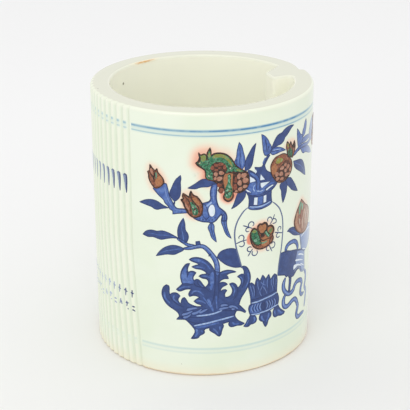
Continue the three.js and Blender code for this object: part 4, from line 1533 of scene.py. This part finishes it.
def right_pomegranate(sheet):
    """The smaller fruit, with its crown"""
    sheet.fill("copper", rounded(
        36, 112.2, 37.6, 113.4, 40, 113.9, 42.4, 114.1, 44.4, 113.6, 46, 112.4, 48.4, 110, 49.4, 108.6,
        49.8, 106.4, 49.4, 104, 48, 102, 46.4, 100.8, 44.4, 99.8, 42, 99.5, 39.6, 100, 37.6, 101.6,
        36, 103.8, 35, 105.6, 34.6, 108, 34.6, 110), "outline", 0.5)
    sheet.fill("amber", oval((36.8, 107.4), 1.7, 2.8, 0.1, 0.08))
    sheet.fill("yellow", oval((40, 111.2), 2.6, 1.3, 0.05, 0.08))
    sheet.fill("outline", rounded(
        40, 107.4, 43, 109, 47.4, 108.4, 49.2, 105.6, 48, 102.6, 45, 100.4, 41, 100.2, 37.8, 101.8,
        36.8, 104.6, 38.4, 105.8), density=0.9)
    sheet.stroke("outline", (42.6, 109.2, 44, 109.8, 46, 109.5, 47.6, 108.6), 0.7, 0.5)
    sheet.stroke("outline", (38, 109.2, 40.4, 109.2, 42.6, 110), 0.5, 0.4, density=0.7)
    sheet.seeds("seed", [
        (38.5, 104.4, 1.2, 1.1), (42, 106.9, 1.4, 1), (44.4, 108, 0.9, 0.9), (46.4, 106.6, 1.1, 1.1),
        (48.2, 104.6, 0.8, 1.1), (44.6, 105, 1.1, 0.9), (45.4, 102.6, 1.2, 1), (41.4, 104, 1.3, 1.1),
        (39, 102, 1.1, 0.9), (42, 101.3, 1.2, 0.8), (47.4, 102.6, 0.7, 0.8)])
    sheet.fill("copper", outline(
        (46.2, 111.6, 45.6, 114.4, 45, 117, 45.5, 119.6), (46.7, 118.4, 47.4, 116.8), (48.3, 119),
        (49.2, 117, 49.8, 116), (51.4, 118.6), (52.2, 116, 51.8, 113.4, 50, 110.4)), "outline", 0.6)
    sheet.fill("green", rounded(46.6, 112, 46.2, 114.4, 47.4, 116, 49, 115, 50, 112.8, 49.2, 110.8))
    sheet.fill("yellow", oval((46.2, 117.6), 0.6, 1.1, 0.2))
    sheet.fill("outline", oval((51, 116.2), 0.9, 1.2, 0.2))
    sheet.strokes("outline", (
        (47.4, 116.8, 47.6, 114, 48, 111.6), (49.8, 116, 50, 113.6, 49.6, 111)), 0.6, 0.4)


class PaintStand(bpy.types.Operator):
    """Paints the footed stand under the vase"""
    bl_idname = "pot.paint_stand"
    bl_label = "Stand"

    def execute(self, context):
        return paint("painting_stand", "underglaze_blue", footed_stand)


def footed_stand(sheet):
    """A collar of leaves, a belt and three feet"""
    sheet.fill("leaf", outline(
        (23.8, 38.2, 23.7, 41, 23.2, 44, 22.5, 47, 22.4, 48.8), (23.1, 49.4, 23.8, 49.8),
        (25, 49, 26.1, 47.6), (26.5, 50.2, 27.3, 51.7), (28.3, 50.6, 29, 49.5), (29.8, 51.2, 30.5, 52.5),
        (31.5, 51.4, 32.3, 49.8), (33.4, 51, 34.4, 52), (35, 50.4, 35.6, 48.6), (36.8, 50.2, 38.2, 51.1),
        (39.6, 50, 40.2, 47), (40, 44, 39.9, 40.4), (32, 39)), "line", 0.45)
    sheet.strokes("light", (
        (23.4, 48.4, 24, 46, 24.8, 43.4, 25, 41.4), (24.8, 48, 25.6, 45.6, 25.8, 42),
        (27.6, 49.8, 27.8, 47, 28.6, 44.4), (31.4, 49.4, 30.6, 46.8, 29, 44),
        (29.4, 49, 30.8, 47.4, 32.6, 46.4), (28.8, 44, 29.4, 42, 30.2, 41), (31, 46, 32.4, 43.8, 33.2, 41.6),
        (33.8, 50, 33.4, 47.4, 33.8, 44.6), (36.2, 49, 36, 46.6, 37, 44, 37.2, 42),
        (37.6, 49.6, 37.4, 47, 38, 44), (39.4, 48, 39.2, 44.4)), 0.42, 0.25, density=0.6)
    for across in (26.6, 30.4, 34.6, 38.4):
        sheet.stroke("line", (across, 41, across - 0.1, 45, across + 0.1, 49.4), 0.7, 0.5)
    sheet.stroke("line", (23.8, 40.2, 28, 40.2, 34, 40.8, 39.8, 41.6), 0.7)
    sheet.fill("leaf", outline(
        (24, 38), (23, 37.2, 22.6, 35.6, 22.9, 33.8, 23.6, 31.8), (29, 31.2, 34, 31.4, 40.7, 32.8),
        (41.3, 34.6, 41.4, 37, 40.4, 39.8), (34.5, 38.8, 29, 38)), "line", 0.45)
    sheet.fill("wash", rounded(23.4, 36.6, 27, 37.6, 29.4, 37, 29.6, 33, 26, 32.4, 23.6, 33.2))
    for across in (24.6, 26.2, 27.8, 29.4, 33.6, 35.2, 36.8, 38.6):
        bulge = 0.9 if across < 31 else -0.9
        sheet.stroke("light", (
            across + bulge / 2, 37.4, across - bulge / 2, 35.2, across + bulge / 2, 33), 0.45, density=0.68)
        sheet.stroke("line", (
            across + bulge / 2 + 0.8, 37.4, across - bulge / 2 + 0.8, 35.2, across + bulge / 2 + 0.8, 33),
            0.5)
    sheet.fill("line", oval((31.4, 35.2), 1.3, 2.6))
    sheet.stroke("light", (24.1, 38.4, 28, 38.5, 33, 39.2, 37, 39.7, 40, 40.4), 0.75)
    sheet.stroke("light", (23.9, 32, 28, 31.6, 30, 31.8, 34, 32, 38, 32.8, 41, 33.2), 0.7)
    for foot in (
            ((23.5, 31.6, 22.6, 29.8, 21.6, 28.2, 20, 26.4),
            (21.4, 25.8, 22.8, 25.9, 23.8, 26.7, 25.4, 26.8, 26.8, 27.5, 27.2, 28.8, 26.8, 30, 26.2, 31)),
            ((29.6, 31, 28.9, 29.6, 29, 28, 30, 27, 31, 26.6), (31.6, 25, 32.4, 23.5, 32.9, 23.1),
            (33.8, 24.4, 34.3, 26.2), (35.2, 27.3, 36, 28, 36.3, 29.4, 35.8, 30.8, 35, 31.6)),
            ((38.4, 31.8, 37.6, 30.2, 37.6, 28.6, 38.2, 27.2, 39.4, 26.6, 41, 26.8, 43.4, 26.2, 45.4, 26.4),
            (46.2, 27.2), (44.4, 28.6, 42.8, 30, 41.6, 31.6, 41, 32.8))):
        sheet.fill("leaf", outline(*foot), "line", 0.6)
    sheet.strokes("wash", (
        (22.6, 30, 21.6, 28, 21, 26.6), (25.8, 30.4, 26.2, 28.4, 25, 27.4), (30.2, 30, 30.6, 28.2, 32, 26.6),
        (34.8, 30.2, 34.4, 28, 33, 25.6), (38.6, 30.4, 39.2, 28.2), (40.8, 30.2, 42.6, 28, 44.8, 27.2)), 1.3,
        0.7)
    sheet.strokes("light", (
        (22.8, 29.4, 21.6, 27.2), (25.8, 30, 26, 28), (30, 29.8, 30.6, 28), (34.6, 30.2, 34.4, 27.8),
        (41.2, 29.8, 43.4, 28), (38.6, 29.6, 39, 27.8)), 0.4, 0.3, density=0.6)


class PaintJardiniere(bpy.types.Operator):
    """Paints the low footed dish and the curling leaves that grow in it"""
    bl_idname = "pot.paint_jardiniere"
    bl_label = "Dish of curling leaves"

    def execute(self, context):
        return paint("painting_jardiniere", "underglaze_blue", curling_leaves, footed_dish)


def curling_leaves(sheet):
    """The mass of leaves, with light veins and curled tips"""
    sheet.fill("leaf", outline(
        (-19.4, 50, -20.8, 48.8, -21.7, 46.6, -21.8, 44.2, -21, 41.9, -19.8, 40, -18, 38.4, -15.8, 37.1,
        -14.2, 36, -13.2, 34.8, -12.8, 33.2), (-4, 30, 15, 33.6), (16.2, 35.7, 18.8, 35.1, 20.6, 33.9),
        (21, 34.4, 19.8, 36, 18.4, 37.6, 17.3, 38.8),
        (17.9, 41, 18.8, 43, 20.2, 45, 21.6, 47.2, 22.6, 49.2, 23.3, 51.4, 23.4, 53.6, 22.9, 55.8, 22, 57.8,
        20.9, 59.1, 19.6, 59.6, 18.2, 59.4), (19.3, 58.6, 20, 57, 20, 55.1),
        (18.8, 55.4, 17.6, 55.1, 16.5, 54.4), (17.7, 53.5, 18.4, 52, 18.4, 50.4, 17.6, 49, 16.6, 48.1),
        (16, 49.6, 15, 50.8, 13.8, 51.3, 12.4, 51),
        (13.2, 49.6, 13.9, 47.8, 13.8, 46, 12.9, 44.5, 11.6, 43.9, 10.2, 43.8),
        (9.8, 45.2, 10.2, 46.6, 10.9, 47.4), (10.4, 48, 9, 48, 7.5, 47.1),
        (7.9, 48.6, 8.9, 49.8, 10.2, 50.4, 11.2, 50.9), (10.2, 51.8, 8.6, 52.2, 6.8, 51.7),
        (7.6, 53, 9, 53.9, 10.4, 54.1, 11.7, 53.9), (11.4, 55, 10.7, 55.9), (12, 56.7, 13.6, 57, 15.7, 57.1),
        (13.8, 58, 11.6, 58.5, 9.4, 58.3, 7.6, 57.6), (4.9, 58.4),
        (4, 60.4, 2.4, 62.8, 0.4, 64.6, -2, 65.7, -4.2, 66, -6.2, 65.7, -7.6, 64.8),
        (-6, 63.9, -4, 63.2, -2.5, 62.2), (-4.4, 61.8, -6.3, 61), (-4.4, 60.1, -2, 59.7, 0, 58.7, 1.2, 57.4),
        (0, 57, -1.6, 56.8, -2.8, 56), (-1.2, 55, 0.8, 54.5, 1.8, 53.2, 1.6, 51.4, 0.2, 49.8),
        (-0.9, 51.2, -1.8, 52.6, -2.8, 53.8, -4, 54.2, -5.4, 53.5), (-5.9, 54.8, -5.4, 56.3, -4.4, 57.8),
        (-5.6, 58.5, -6.9, 58.5, -8.2, 57.9), (-8.6, 59, -8.4, 60.4, -7.5, 62.7),
        (-9, 62.3, -10.4, 60.7, -11.6, 58.2, -12, 55.6, -11.7, 53.2, -11.2, 51.4), (-12.4, 50, -14.2, 48.2),
        (-12.8, 47.4, -11.4, 47.8, -9.8, 48.6, -8, 48.9, -6.6, 48.8), (-7.6, 47.2, -8, 45.8, -7.6, 44.8),
        (-5.8, 45.4, -4, 45.2, -2.5, 44.3), (-3.8, 43.6, -5.4, 42.2), (-4, 41.1, -2, 40.3, -1.2, 39.4),
        (-4, 39.3, -6.4, 40, -8.4, 41.2, -9.2, 42.6, -10.2, 44), (-11.2, 43.4, -11.8, 41.8, -12, 40.1),
        (-13.2, 41.4, -13.5, 43, -12.5, 44.7), (-13.6, 45.8, -15, 46.2, -16.6, 45.7, -17.8, 44.6),
        (-18.1, 46.4, -18, 48, -18.2, 49.6)), "line", 0.6)
    for shape in (
            (-11, 51.8, -11.7, 55.4, -10.9, 58.6, -9.3, 60.8, -8.9, 58.4, -8.2, 56.2, -7.2, 57.8, -5.6, 57.6,
            -6.2, 55.2, -5.6, 52.6, -8, 51.6),
            (-6.8, 64.9, -4.6, 65.4, -2.4, 65, 0, 63.4, -2, 63.6, -4.6, 64),
            (2.2, 56.6, 4, 58.2, 4.6, 55, 4.2, 51, 3.2, 48.4, 2.4, 49.6, 2.6, 53)):
        sheet.fill("wash", rounded(*shape))
    sheet.strokes("line", (
        (-5.4, 52.4, -4.6, 50.8, -2, 50, 0.6, 49.2, 2.6, 47), (-11.2, 51.3, -8.6, 51.7, -5.6, 51.2),
        (-3.4, 53.4, -3.2, 51.8, -1.2, 49.8), (4.9, 58, 5.2, 54, 5, 49, 4.4, 44, 3, 40),
        (7.2, 57.4, 6.8, 52, 7, 47, 6.4, 42), (-9, 58.6, -8.6, 56.8, -8.8, 55),
        (-17.6, 44.4, -16.4, 42, -13, 39.6, -10, 38.8), (16.6, 48, 16.4, 45, 14, 41.6),
        (20, 55, 20.4, 52, 19, 48), (1.2, 57.4, 2.8, 56.4), (1.8, 53, 2.8, 50.4)), 0.7, 0.5)
    for line, width in (
            ((-3, 64.6, 0.6, 62.6, 2.8, 59.6), 1), ((-5.4, 60.9, -2.6, 60.9, 0, 60.2), 0.6),
            ((-1.8, 56, 0.8, 56, 2.4, 55), 0.7), ((-3.6, 53, -2.4, 51.4, -0.4, 49.4), 0.7),
            ((-13, 48.4, -10.6, 49.8, -7, 50), 0.8), ((-20.6, 46, -20.2, 42.8, -17.6, 40), 1.1),
            ((-15.4, 45, -15.8, 42.8, -13.4, 40.6), 0.8), ((22, 55.6, 22.4, 51.6, 20.8, 47.6), 0.9),
            ((13.4, 50.4, 15, 47.6, 14.2, 44), 0.8), ((8, 57, 11, 57.6, 13.4, 57.5), 0.5),
            ((17.6, 54.4, 19, 52.6, 18.8, 50), 0.7), ((1.4, 43.6, 2.6, 41, 3.6, 38, 4.2, 36.4), 1.5),
            ((5.6, 45, 5.8, 41, 6, 38), 0.8), ((-4.6, 42.4, -2, 42.4, 0.4, 41), 0.9),
            ((-6.6, 46.2, -5.6, 47.6, -3, 47.6, -0.6, 45.6), 0.9), ((-1, 44.6, 1, 41.8, 3, 38.4), 0.6)):
        sheet.stroke("wash", line, width, width * 0.6)
    for line in (
            (-9.2, 37, -6.8, 38, -3.6, 38.6), (-11.6, 34.2, -8.6, 35.4, -6.2, 36.8),
            (-11, 32.9, -8.6, 33.6, -7, 35), (-6.6, 35.2, -4, 36, -1.6, 38), (-2.8, 35.8, -0.6, 37, 1.4, 38),
            (7, 37.4, 9.4, 37.9, 12, 38), (7.8, 39.2, 9.8, 39.7, 11.6, 39.3),
            (12, 38.4, 14.6, 38.2, 17, 36.6), (13.4, 37, 15.4, 36.8)):
        sheet.stroke("wash", line, 2.1, 1.2, edge="line")
        sheet.stroke("light", line, 1.1, 0.4, density=0.45)


def footed_dish(sheet):
    """The dish and its feet"""
    sheet.fill("leaf", outline(
        (-14.3, 31.6, -12.4, 31.8, -10.4, 31.9, -9.4, 31.6, -8.4, 30.6, -7, 29.1, -6, 27.8, -5.2, 26.6,
        -5, 25.2, -5.6, 23.6, -7, 21.4),
        (-5.4, 21.4, -3.6, 21.9, -2.6, 23.2, -1.2, 24, -0.3, 24.8, -0.5, 26, 0, 26.9), (2.4, 27.6),
        (2.3, 26.3, 3.4, 25.2, 4.8, 24.3, 6.2, 23, 7.2, 22.5, 8, 23.4, 8.3, 25, 8.8, 26.6, 9.3, 28,
        8.8, 29.3), (10.6, 29.8, 12.4, 30.2),
        (12, 28.8, 12.6, 27.5, 14, 27.1, 16.4, 27.5, 18.6, 27.3, 20.3, 27.9),
        (18.8, 28.9, 17.2, 30, 15.8, 31.6, 15.1, 33.4, 15.3, 35.8), (9, 36.8),
        (5, 35.4, 0, 34, -4, 33.2, -9, 33.4, -13, 33.2)), "line", 0.55)
    sheet.stroke("light", (-4.4, 34.1, -1, 34.4, 3, 35, 6, 35.8, 8.6, 36.8), 0.8, 0.7)
    sheet.stroke("light", (-5.6, 28.5, -2, 29.4, 2, 30.3, 6, 31.3, 10, 32.1, 14.7, 33), 0.85)
    sheet.stroke("wash", (-4.6, 27.6, -1, 28.2, 3, 29.2, 7, 30), 1.2, 0.8)
    for line, width in (
            ((-4.4, 26.8, -4, 24.6, -5, 22.4), 1.4), ((-1.8, 26.2, -1.4, 25), 0.9),
            ((4, 27, 5.6, 25.4, 6.6, 23.6), 0.9), ((7.4, 28, 7.6, 25.6), 0.8),
            ((14, 29.6, 15, 28.4, 17.6, 28.2), 0.9)):
        sheet.stroke("wash", line, width, width * 0.6)


class PaintRibbons(bpy.types.Operator):
    """Paints the fruit, the wrapped box and the ribbons at the right"""
    bl_idname = "pot.paint_ribbons"
    bl_label = "Box, fruit and ribbons"

    def execute(self, context):
        paint("painting_ribbons", "underglaze_blue", box_and_ribbons)
        return paint("painting_right_fruit", "underglaze_red", right_fruit)


def box_and_ribbons(sheet):
    """The fruit's bowl, the wrapped box and three ribbons"""
    sheet.fill("wash", outline(
        (59.4, 66), (66, 67, 72, 66.8, 79, 65), (77.6, 60, 73.6, 56, 70.6, 54.6), (66, 54.2, 61.6, 56.6),
        (60.2, 61)), "line", 0.6, 0.8)
    sheet.stroke("veil", (60.8, 64, 67, 64.8, 73, 64.4, 77.6, 63), 0.8)
    for across in (63, 66, 69, 72, 75):
        sheet.stroke("leaf", (across, 62.6, across - 0.4 + (68 - across) / 6, 58.4), 0.6, 0.4, density=0.8)
    sheet.leaf(
        (60, 65.2), (47, 71.6), (57.6, 68.2, 55.4, 70.4, 53, 72, 51, 72.6, 48.8, 72.6),
        (57.4, 66.2, 55, 66.9, 52.4, 68, 50.4, 69.5, 48.6, 70.9))
    sheet.stroke("line", (59.2, 65.6, 60.6, 62.4, 61.4, 58), 1, 1.6, density=0.8)
    sheet.stroke("wash", (
        46, 60.6, 46.5, 62.7, 48, 64.1, 50.4, 64.5, 53.2, 64.2, 55.6, 62.6, 57, 60.2, 57, 58), 2.1, 2,
        edge="line")
    sheet.stroke("light", (46.6, 62, 48.2, 63.9, 51, 64.3, 54, 63.6), 0.6, 0.4, density=0.7)
    sheet.fill("leaf", outline(
        (42, 61.1, 47, 60.9, 50, 59.9, 54, 59, 58, 57.8, 62, 56.6, 66, 55), (66.4, 50, 67, 43),
        (63.4, 43.4, 61.2, 44.8, 59.6, 46.6, 57.4, 47, 55, 45.9), (53.4, 44.9, 51.6, 45, 49.4, 45),
        (48.6, 46.6, 47, 46.6, 45.8, 48), (43.6, 48.7, 40.4, 49.6), (40.8, 54, 41.4, 58)), "line", 0.6)
    sheet.fill("wash", outline(
        (57, 57.4, 62, 55.8, 66, 54.4), (66.6, 47, 66.8, 43.6), (63, 44.4, 60, 48.6, 56, 49.4), (55.4, 53)),
        density=0.8)
    sheet.fill("veil", outline(
        (53.2, 48.4, 53.2, 49.8, 53.8, 50.6), (55.6, 50.5, 58, 49.8, 60.4, 48.6, 63, 46.8),
        (60, 48, 57.6, 48.9, 55.6, 48.6, 53.8, 48.1)))
    for line, width in (
            ((55, 52.8, 58, 52, 61, 51, 63.8, 49.8), 1.1), ((58, 55, 60.6, 54.3, 63, 53.2, 65, 52), 1),
            ((63, 56.4, 66, 55.2, 68.4, 54.2), 0.7), ((61, 48.8, 63.4, 47.4, 65.6, 46), 0.7)):
        sheet.stroke("veil", line, width, 0.5)
    sheet.stroke("line", (
        54.2, 47, 56.6, 48, 58.8, 48, 60.4, 46.2, 61.4, 44.6, 64, 43.4, 67.4, 42.8), 1.3, 0.9, density=0.8)
    sheet.stroke("leaf", (50.4, 46, 50.3, 42.4, 49.9, 39.4, 49.6, 36.6), 2.1, 1.5, edge="line")
    for line in (
            (46.2, 46.2, 44.9, 43.2, 45, 40.6, 46.4, 38.2, 48.4, 36.6, 51, 36, 53.4, 36.8, 54.8, 38.8,
            56.8, 40, 59.4, 39.9, 62, 39, 63.4, 37, 62.2, 34.6, 61.8, 32, 63.4, 30.2, 67, 29.8),
            (46.8, 37, 45.4, 35, 45, 32.6, 45.8, 30.4, 47.8, 29.5, 50.2, 30, 52.6, 31, 55, 31, 56.8, 29.6,
            58, 27.4, 58.8, 25.4, 58, 23.4, 57.4, 21.4, 58.4, 19.4, 60.4, 18.8, 63.6, 18.9, 68, 18.4),
            (67, 42.6, 69.4, 40, 69.4, 36, 68, 33, 70.6, 29.4, 70, 25.4, 68.4, 21)):
        sheet.stroke("wash", line, 2.4, 2.2, edge="line")
        sheet.stroke("light", line, 0.8, 0.6, density=0.65)


def right_fruit(sheet):
    """The whole fruit on its bowl and the small one on the hidden branch"""
    sheet.halo((53, 76, 57, 82, 60.6, 84.6, 64, 82, 68, 79, 66, 70, 58, 68), 3.4, 0.38, (0.2, 0.2))
    sheet.fill("copper", outline(
        (60.2, 84.7, 57.4, 82, 55, 79.4, 53.4, 76.6, 52.9, 74, 53.8, 71.4, 56, 68.6, 60, 66),
        (64, 65.2, 68, 65.6, 71.4, 68, 72.8, 71.6, 72.4, 75, 70, 77.8, 66, 80, 63, 82.4)), "outline", 0.5)
    for tone, line, width, density in (
            ("green", (59.8, 83.4, 58.4, 80.4, 58.6, 77), 2.6, 0.75),
            ("green", (61.6, 82, 61.4, 78.6), 2, 0.6),
            ("amber", (56, 79, 55, 75, 56.4, 71, 60, 67.4), 2.6, 0.85),
            ("amber", (65, 78, 62.6, 73, 62, 68), 2.2, 0.7),
            ("outline", (54.8, 78.4, 53.6, 74.4, 54.6, 71, 57.6, 68), 0.6, 0.7),
            ("outline", (60.4, 81, 59.6, 77.6, 60.2, 74), 0.6, 0.6),
            ("outline", (64, 79.6, 62.8, 76, 63.4, 71), 0.6, 0.55),
            ("verdigris", (68, 77.4, 66, 73, 66.4, 69), 1.8, 0.6),
            ("verdigris", (58, 75, 58.8, 71.4), 1, 0.6), ("amber", (70.6, 75.6, 69.4, 72, 69, 68), 2, 0.8),
            ("outline", (69, 77, 67.8, 73, 68, 68), 0.5, 0.6)):
        sheet.stroke(tone, line, width, 0.6 * width, density=density)
    sheet.halo((76, 112, 78, 118, 83, 121, 88, 118, 88, 110, 82, 107), 2.6, 0.35)
    sheet.fill("copper", outline(
        (79.6, 120, 78.6, 123.4), (80.6, 121.6, 81.8, 123.8, 82.8, 121.6), (85, 123),
        (84.6, 119.8, 87.6, 117.6, 89, 114, 88, 110, 85, 107.4, 81.6, 107, 78, 108.6, 76, 112, 76.8, 116.6)),
        "outline", 0.5)
    sheet.fill("outline", rounded(
        83, 108.4, 86.4, 109.6, 88, 112.6, 87.4, 116, 84.8, 117.2, 82, 114.6, 81.4, 111))
    sheet.seeds("seed", [
        (83.4, 110, 1, 0.9), (85.8, 110.8, 1, 0.9), (83.2, 112.6, 1, 1), (85.8, 113.2, 1.1, 1),
        (84.4, 115.4, 1.1, 0.9), (87.2, 115, 0.6, 0.8), (87.4, 112, 0.5, 0.8)])
    sheet.fill("yellow", oval((79, 115.4), 1.2, 2.2, -0.3, 0.08), density=0.8)
    sheet.fill("green", oval((81.8, 120.6), 1.2, 1.4, 0, 0.1), density=0.9)


# Sprays on the hidden side: shift around and up in mm, and whether they are turned over
BACK_SPRAYS = ((-146.0, 0.0, False), (160.0, 14.0, True))


class PaintBack(bpy.types.Operator):
    """Paints the hidden side: a branch with leaves and a bud, as on the front"""
    bl_idname = "pot.paint_back"
    bl_label = "Hidden side"

    def execute(self, context):
        for number, place in enumerate(BACK_SPRAYS, 1):
            paint(f"painting_back_spray_{number}", "underglaze_blue", lower_left_spray, place=place)
            paint(f"painting_back_bud_{number}", "underglaze_red", bud_on_spray, place=place)
        return {"FINISHED"}


def bud_on_spray(sheet):
    """A bud at the end of the spray"""
    sheet.fill("copper", outline(
        (-5.6, 74, -6.4, 77, -5.8, 80.4, -4.6, 83), (-3.6, 80.6), (-2.4, 83.4),
        (-1.2, 80, -0.6, 77, -1.8, 74), (-3.6, 73)), "outline", 0.7)
    sheet.stroke("green", (-4.6, 80.4, -4.2, 76), 1.1, 0.7)
    sheet.fill("amber", oval((-2.4, 77), 1, 2, 0.1, 0.08))


# The floor and the stage

# The disc of the floor reaches a little into the wall, and its fillet is given as distances in and up
DISC_SIDES = 180
DISC_TUCK = 0.6 * MM
DISC_FILLET = ((0, 3 * MM), (1.5 * MM, 1 * MM), (3.5 * MM, 0))


class DressFloor(bpy.types.Operator):
    """Builds the floor inside the pot, glazed above, with its edge hidden in the wall's fillet of glaze"""
    bl_idname = "pot.floor"
    bl_label = "Floor"

    def execute(self, context):
        wall = context.scene.pot_wall
        radius = wall.radius - wall.thickness + DISC_TUCK
        top = FLOOR_HIGH[2]
        profile = [(0, FLOOR_LOW[2])] + [(inward, top + rise) for inward, rise in DISC_FILLET]
        mesh = bmesh.new()
        rings = []
        for inward, up in profile:
            ring = [polar(math.tau * i / DISC_SIDES, radius - inward) for i in range(DISC_SIDES)]
            rings.append([mesh.verts.new((*point, up)) for point in ring])
        for low, high in zip(rings, rings[1:]):
            for i in range(DISC_SIDES):
                on = (i + 1) % DISC_SIDES
                mesh.faces.new((low[i], low[on], high[on], high[i]))
        mesh.faces.new(rings[0][::-1])
        mesh.faces.new(rings[-1])
        data = bpy.data.meshes.new("glazed_floor")
        mesh.to_mesh(data)
        mesh.free()
        data.materials.append(bpy.data.materials["clear_glazed_porcelain"])
        piece = placed("glazed_floor", data)
        finish_normals(piece)
        settle(piece, "inner_glaze", "floor")
        return {"FINISHED"}


# The paper's side, and its painted shade: how far the darker part turns to the right,
# and from where to where it fades
FLOOR_SIDE = 6.0
FLOOR_SLANT = 0.5
FLOOR_FADE = (-0.5, 0.3)
PAPER_ROUGHNESS = 0.9
PAPER_GLEAM = 0.1
LAMP_SIZE = 1.0
LAMP_PLACE = Vector((-0.25, -0.8, 1.1))


def lamp(name, size, power, place, aim):
    data = bpy.data.lights.new(name, "AREA")
    data.shape = "DISK"
    data.size = size
    data.energy = power
    made = placed(name, data)
    turned = (place - aim).to_track_quat("Z", "Y").to_matrix().to_4x4()
    made.matrix_world = Matrix.Translation(place) @ turned


class BuildStage(bpy.types.Operator):
    """Sets up the paper floor, the soft lamp and the camera"""
    bl_idname = "pot.stage"
    bl_label = "Stage"

    def execute(self, context):
        scene = context.scene
        stage = scene.pot_stage
        heading = Matrix.Rotation(-stage.heading, 3, "Z")
        aim = heading @ Vector((stage.aim_right, 0, stage.aim_up))
        forward = heading @ Vector((0, math.cos(stage.pitch), -math.sin(stage.pitch)))
        side = heading @ Vector((1, 0, 0))
        up = side.cross(forward)
        right = math.cos(stage.roll) * side + math.sin(stage.roll) * up
        over = math.cos(stage.roll) * up - math.sin(stage.roll) * side
        data = bpy.data.cameras.new("camera")
        data.lens = stage.lens
        data.sensor_width = stage.sensor
        data.clip_start = 10 * MM
        camera = placed("camera", data)
        turned = Matrix((right, over, -forward)).transposed().to_4x4()
        camera.matrix_world = Matrix.Translation(aim - stage.distance * forward) @ turned
        scene.camera = camera

        # Matt paper gives the eye a pale ground without a gleam,
        # with painted shade in front of the pot and to its right
        paper = bpy.data.materials.new("matt_paper")
        paper.use_nodes = True
        surface = paper.node_tree.nodes["Principled BSDF"]
        surface.inputs["Roughness"].default_value = PAPER_ROUGHNESS
        surface.inputs["Specular IOR Level"].default_value = PAPER_GLEAM
        add = partial(new_node, paper.node_tree)
        place = add("ShaderNodeTexCoord").outputs["Object"]
        x, y, z = add("ShaderNodeSeparateXYZ", place).outputs
        # Painted shade: the paper turns to the darker tone in front and to the right
        nearer = add(DIFFERENCE, add(PRODUCT, x, FLOOR_SLANT), y)
        shade = add(BLEND, add(FADE, nearer, *FLOOR_FADE), stage.floor, stage.floor_shade)
        paper.node_tree.links.new(shown(shade), surface.inputs["Base Color"])
        mesh = bmesh.new()
        bmesh.ops.create_grid(mesh, x_segments=1, y_segments=1, size=FLOOR_SIDE / 2)
        data = bpy.data.meshes.new("paper_floor")
        mesh.to_mesh(data)
        mesh.free()
        data.materials.append(paper)
        placed("paper_floor", data)

        world = scene.world or bpy.data.worlds.new("studio")
        scene.world = world
        world.use_nodes = True
        sky = world.node_tree.nodes["Background"]
        sky.inputs["Color"].default_value = (1, 1, 1, 1)
        sky.inputs["Strength"].default_value = stage.sky
        lamp("key_lamp", LAMP_SIZE, stage.key, LAMP_PLACE, aim)
        scene.view_settings.view_transform = "Standard"
        return {"FINISHED"}


STEPS = (
    BuildStage, BuildWall, DressFloor, PaintLines, PaintReedMarks, PaintBranches, PaintVase, PaintFlower,
    PaintFruit, PaintStand, PaintJardiniere, PaintRibbons, PaintBack,
)


class PotPanel(bpy.types.Panel):
    """Lists the steps and their settings in the sidebar"""
    bl_idname = "VIEW3D_PT_brush_pot"
    bl_label = "Brush Pot"
    bl_space_type = "VIEW_3D"
    bl_region_type = "UI"
    bl_category = "Brush Pot"

    def draw(self, context):
        for step in STEPS:
            self.layout.operator(step.bl_idname)
        for name, group in SETTINGS.items():
            box = self.layout.box()
            box.label(text=group.__doc__)
            for setting in group.__annotations__:
                box.prop(getattr(context.scene, name), setting)


def register():
    for name, group in SETTINGS.items():
        bpy.utils.register_class(group)
        setattr(bpy.types.Scene, name, bpy.props.PointerProperty(type=group))
    for step in (*STEPS, PotPanel):
        bpy.utils.register_class(step)


def unregister():
    for step in (*STEPS, PotPanel):
        bpy.utils.unregister_class(step)
    for name, group in SETTINGS.items():
        delattr(bpy.types.Scene, name)
        bpy.utils.unregister_class(group)


def corners(box):
    return [list(corner) for corner in box]


def main():
    register()
    for step in STEPS:
        group, name = step.bl_idname.split(".")
        getattr(getattr(bpy.ops, group), name)()


if __name__ == "__main__":
    main()
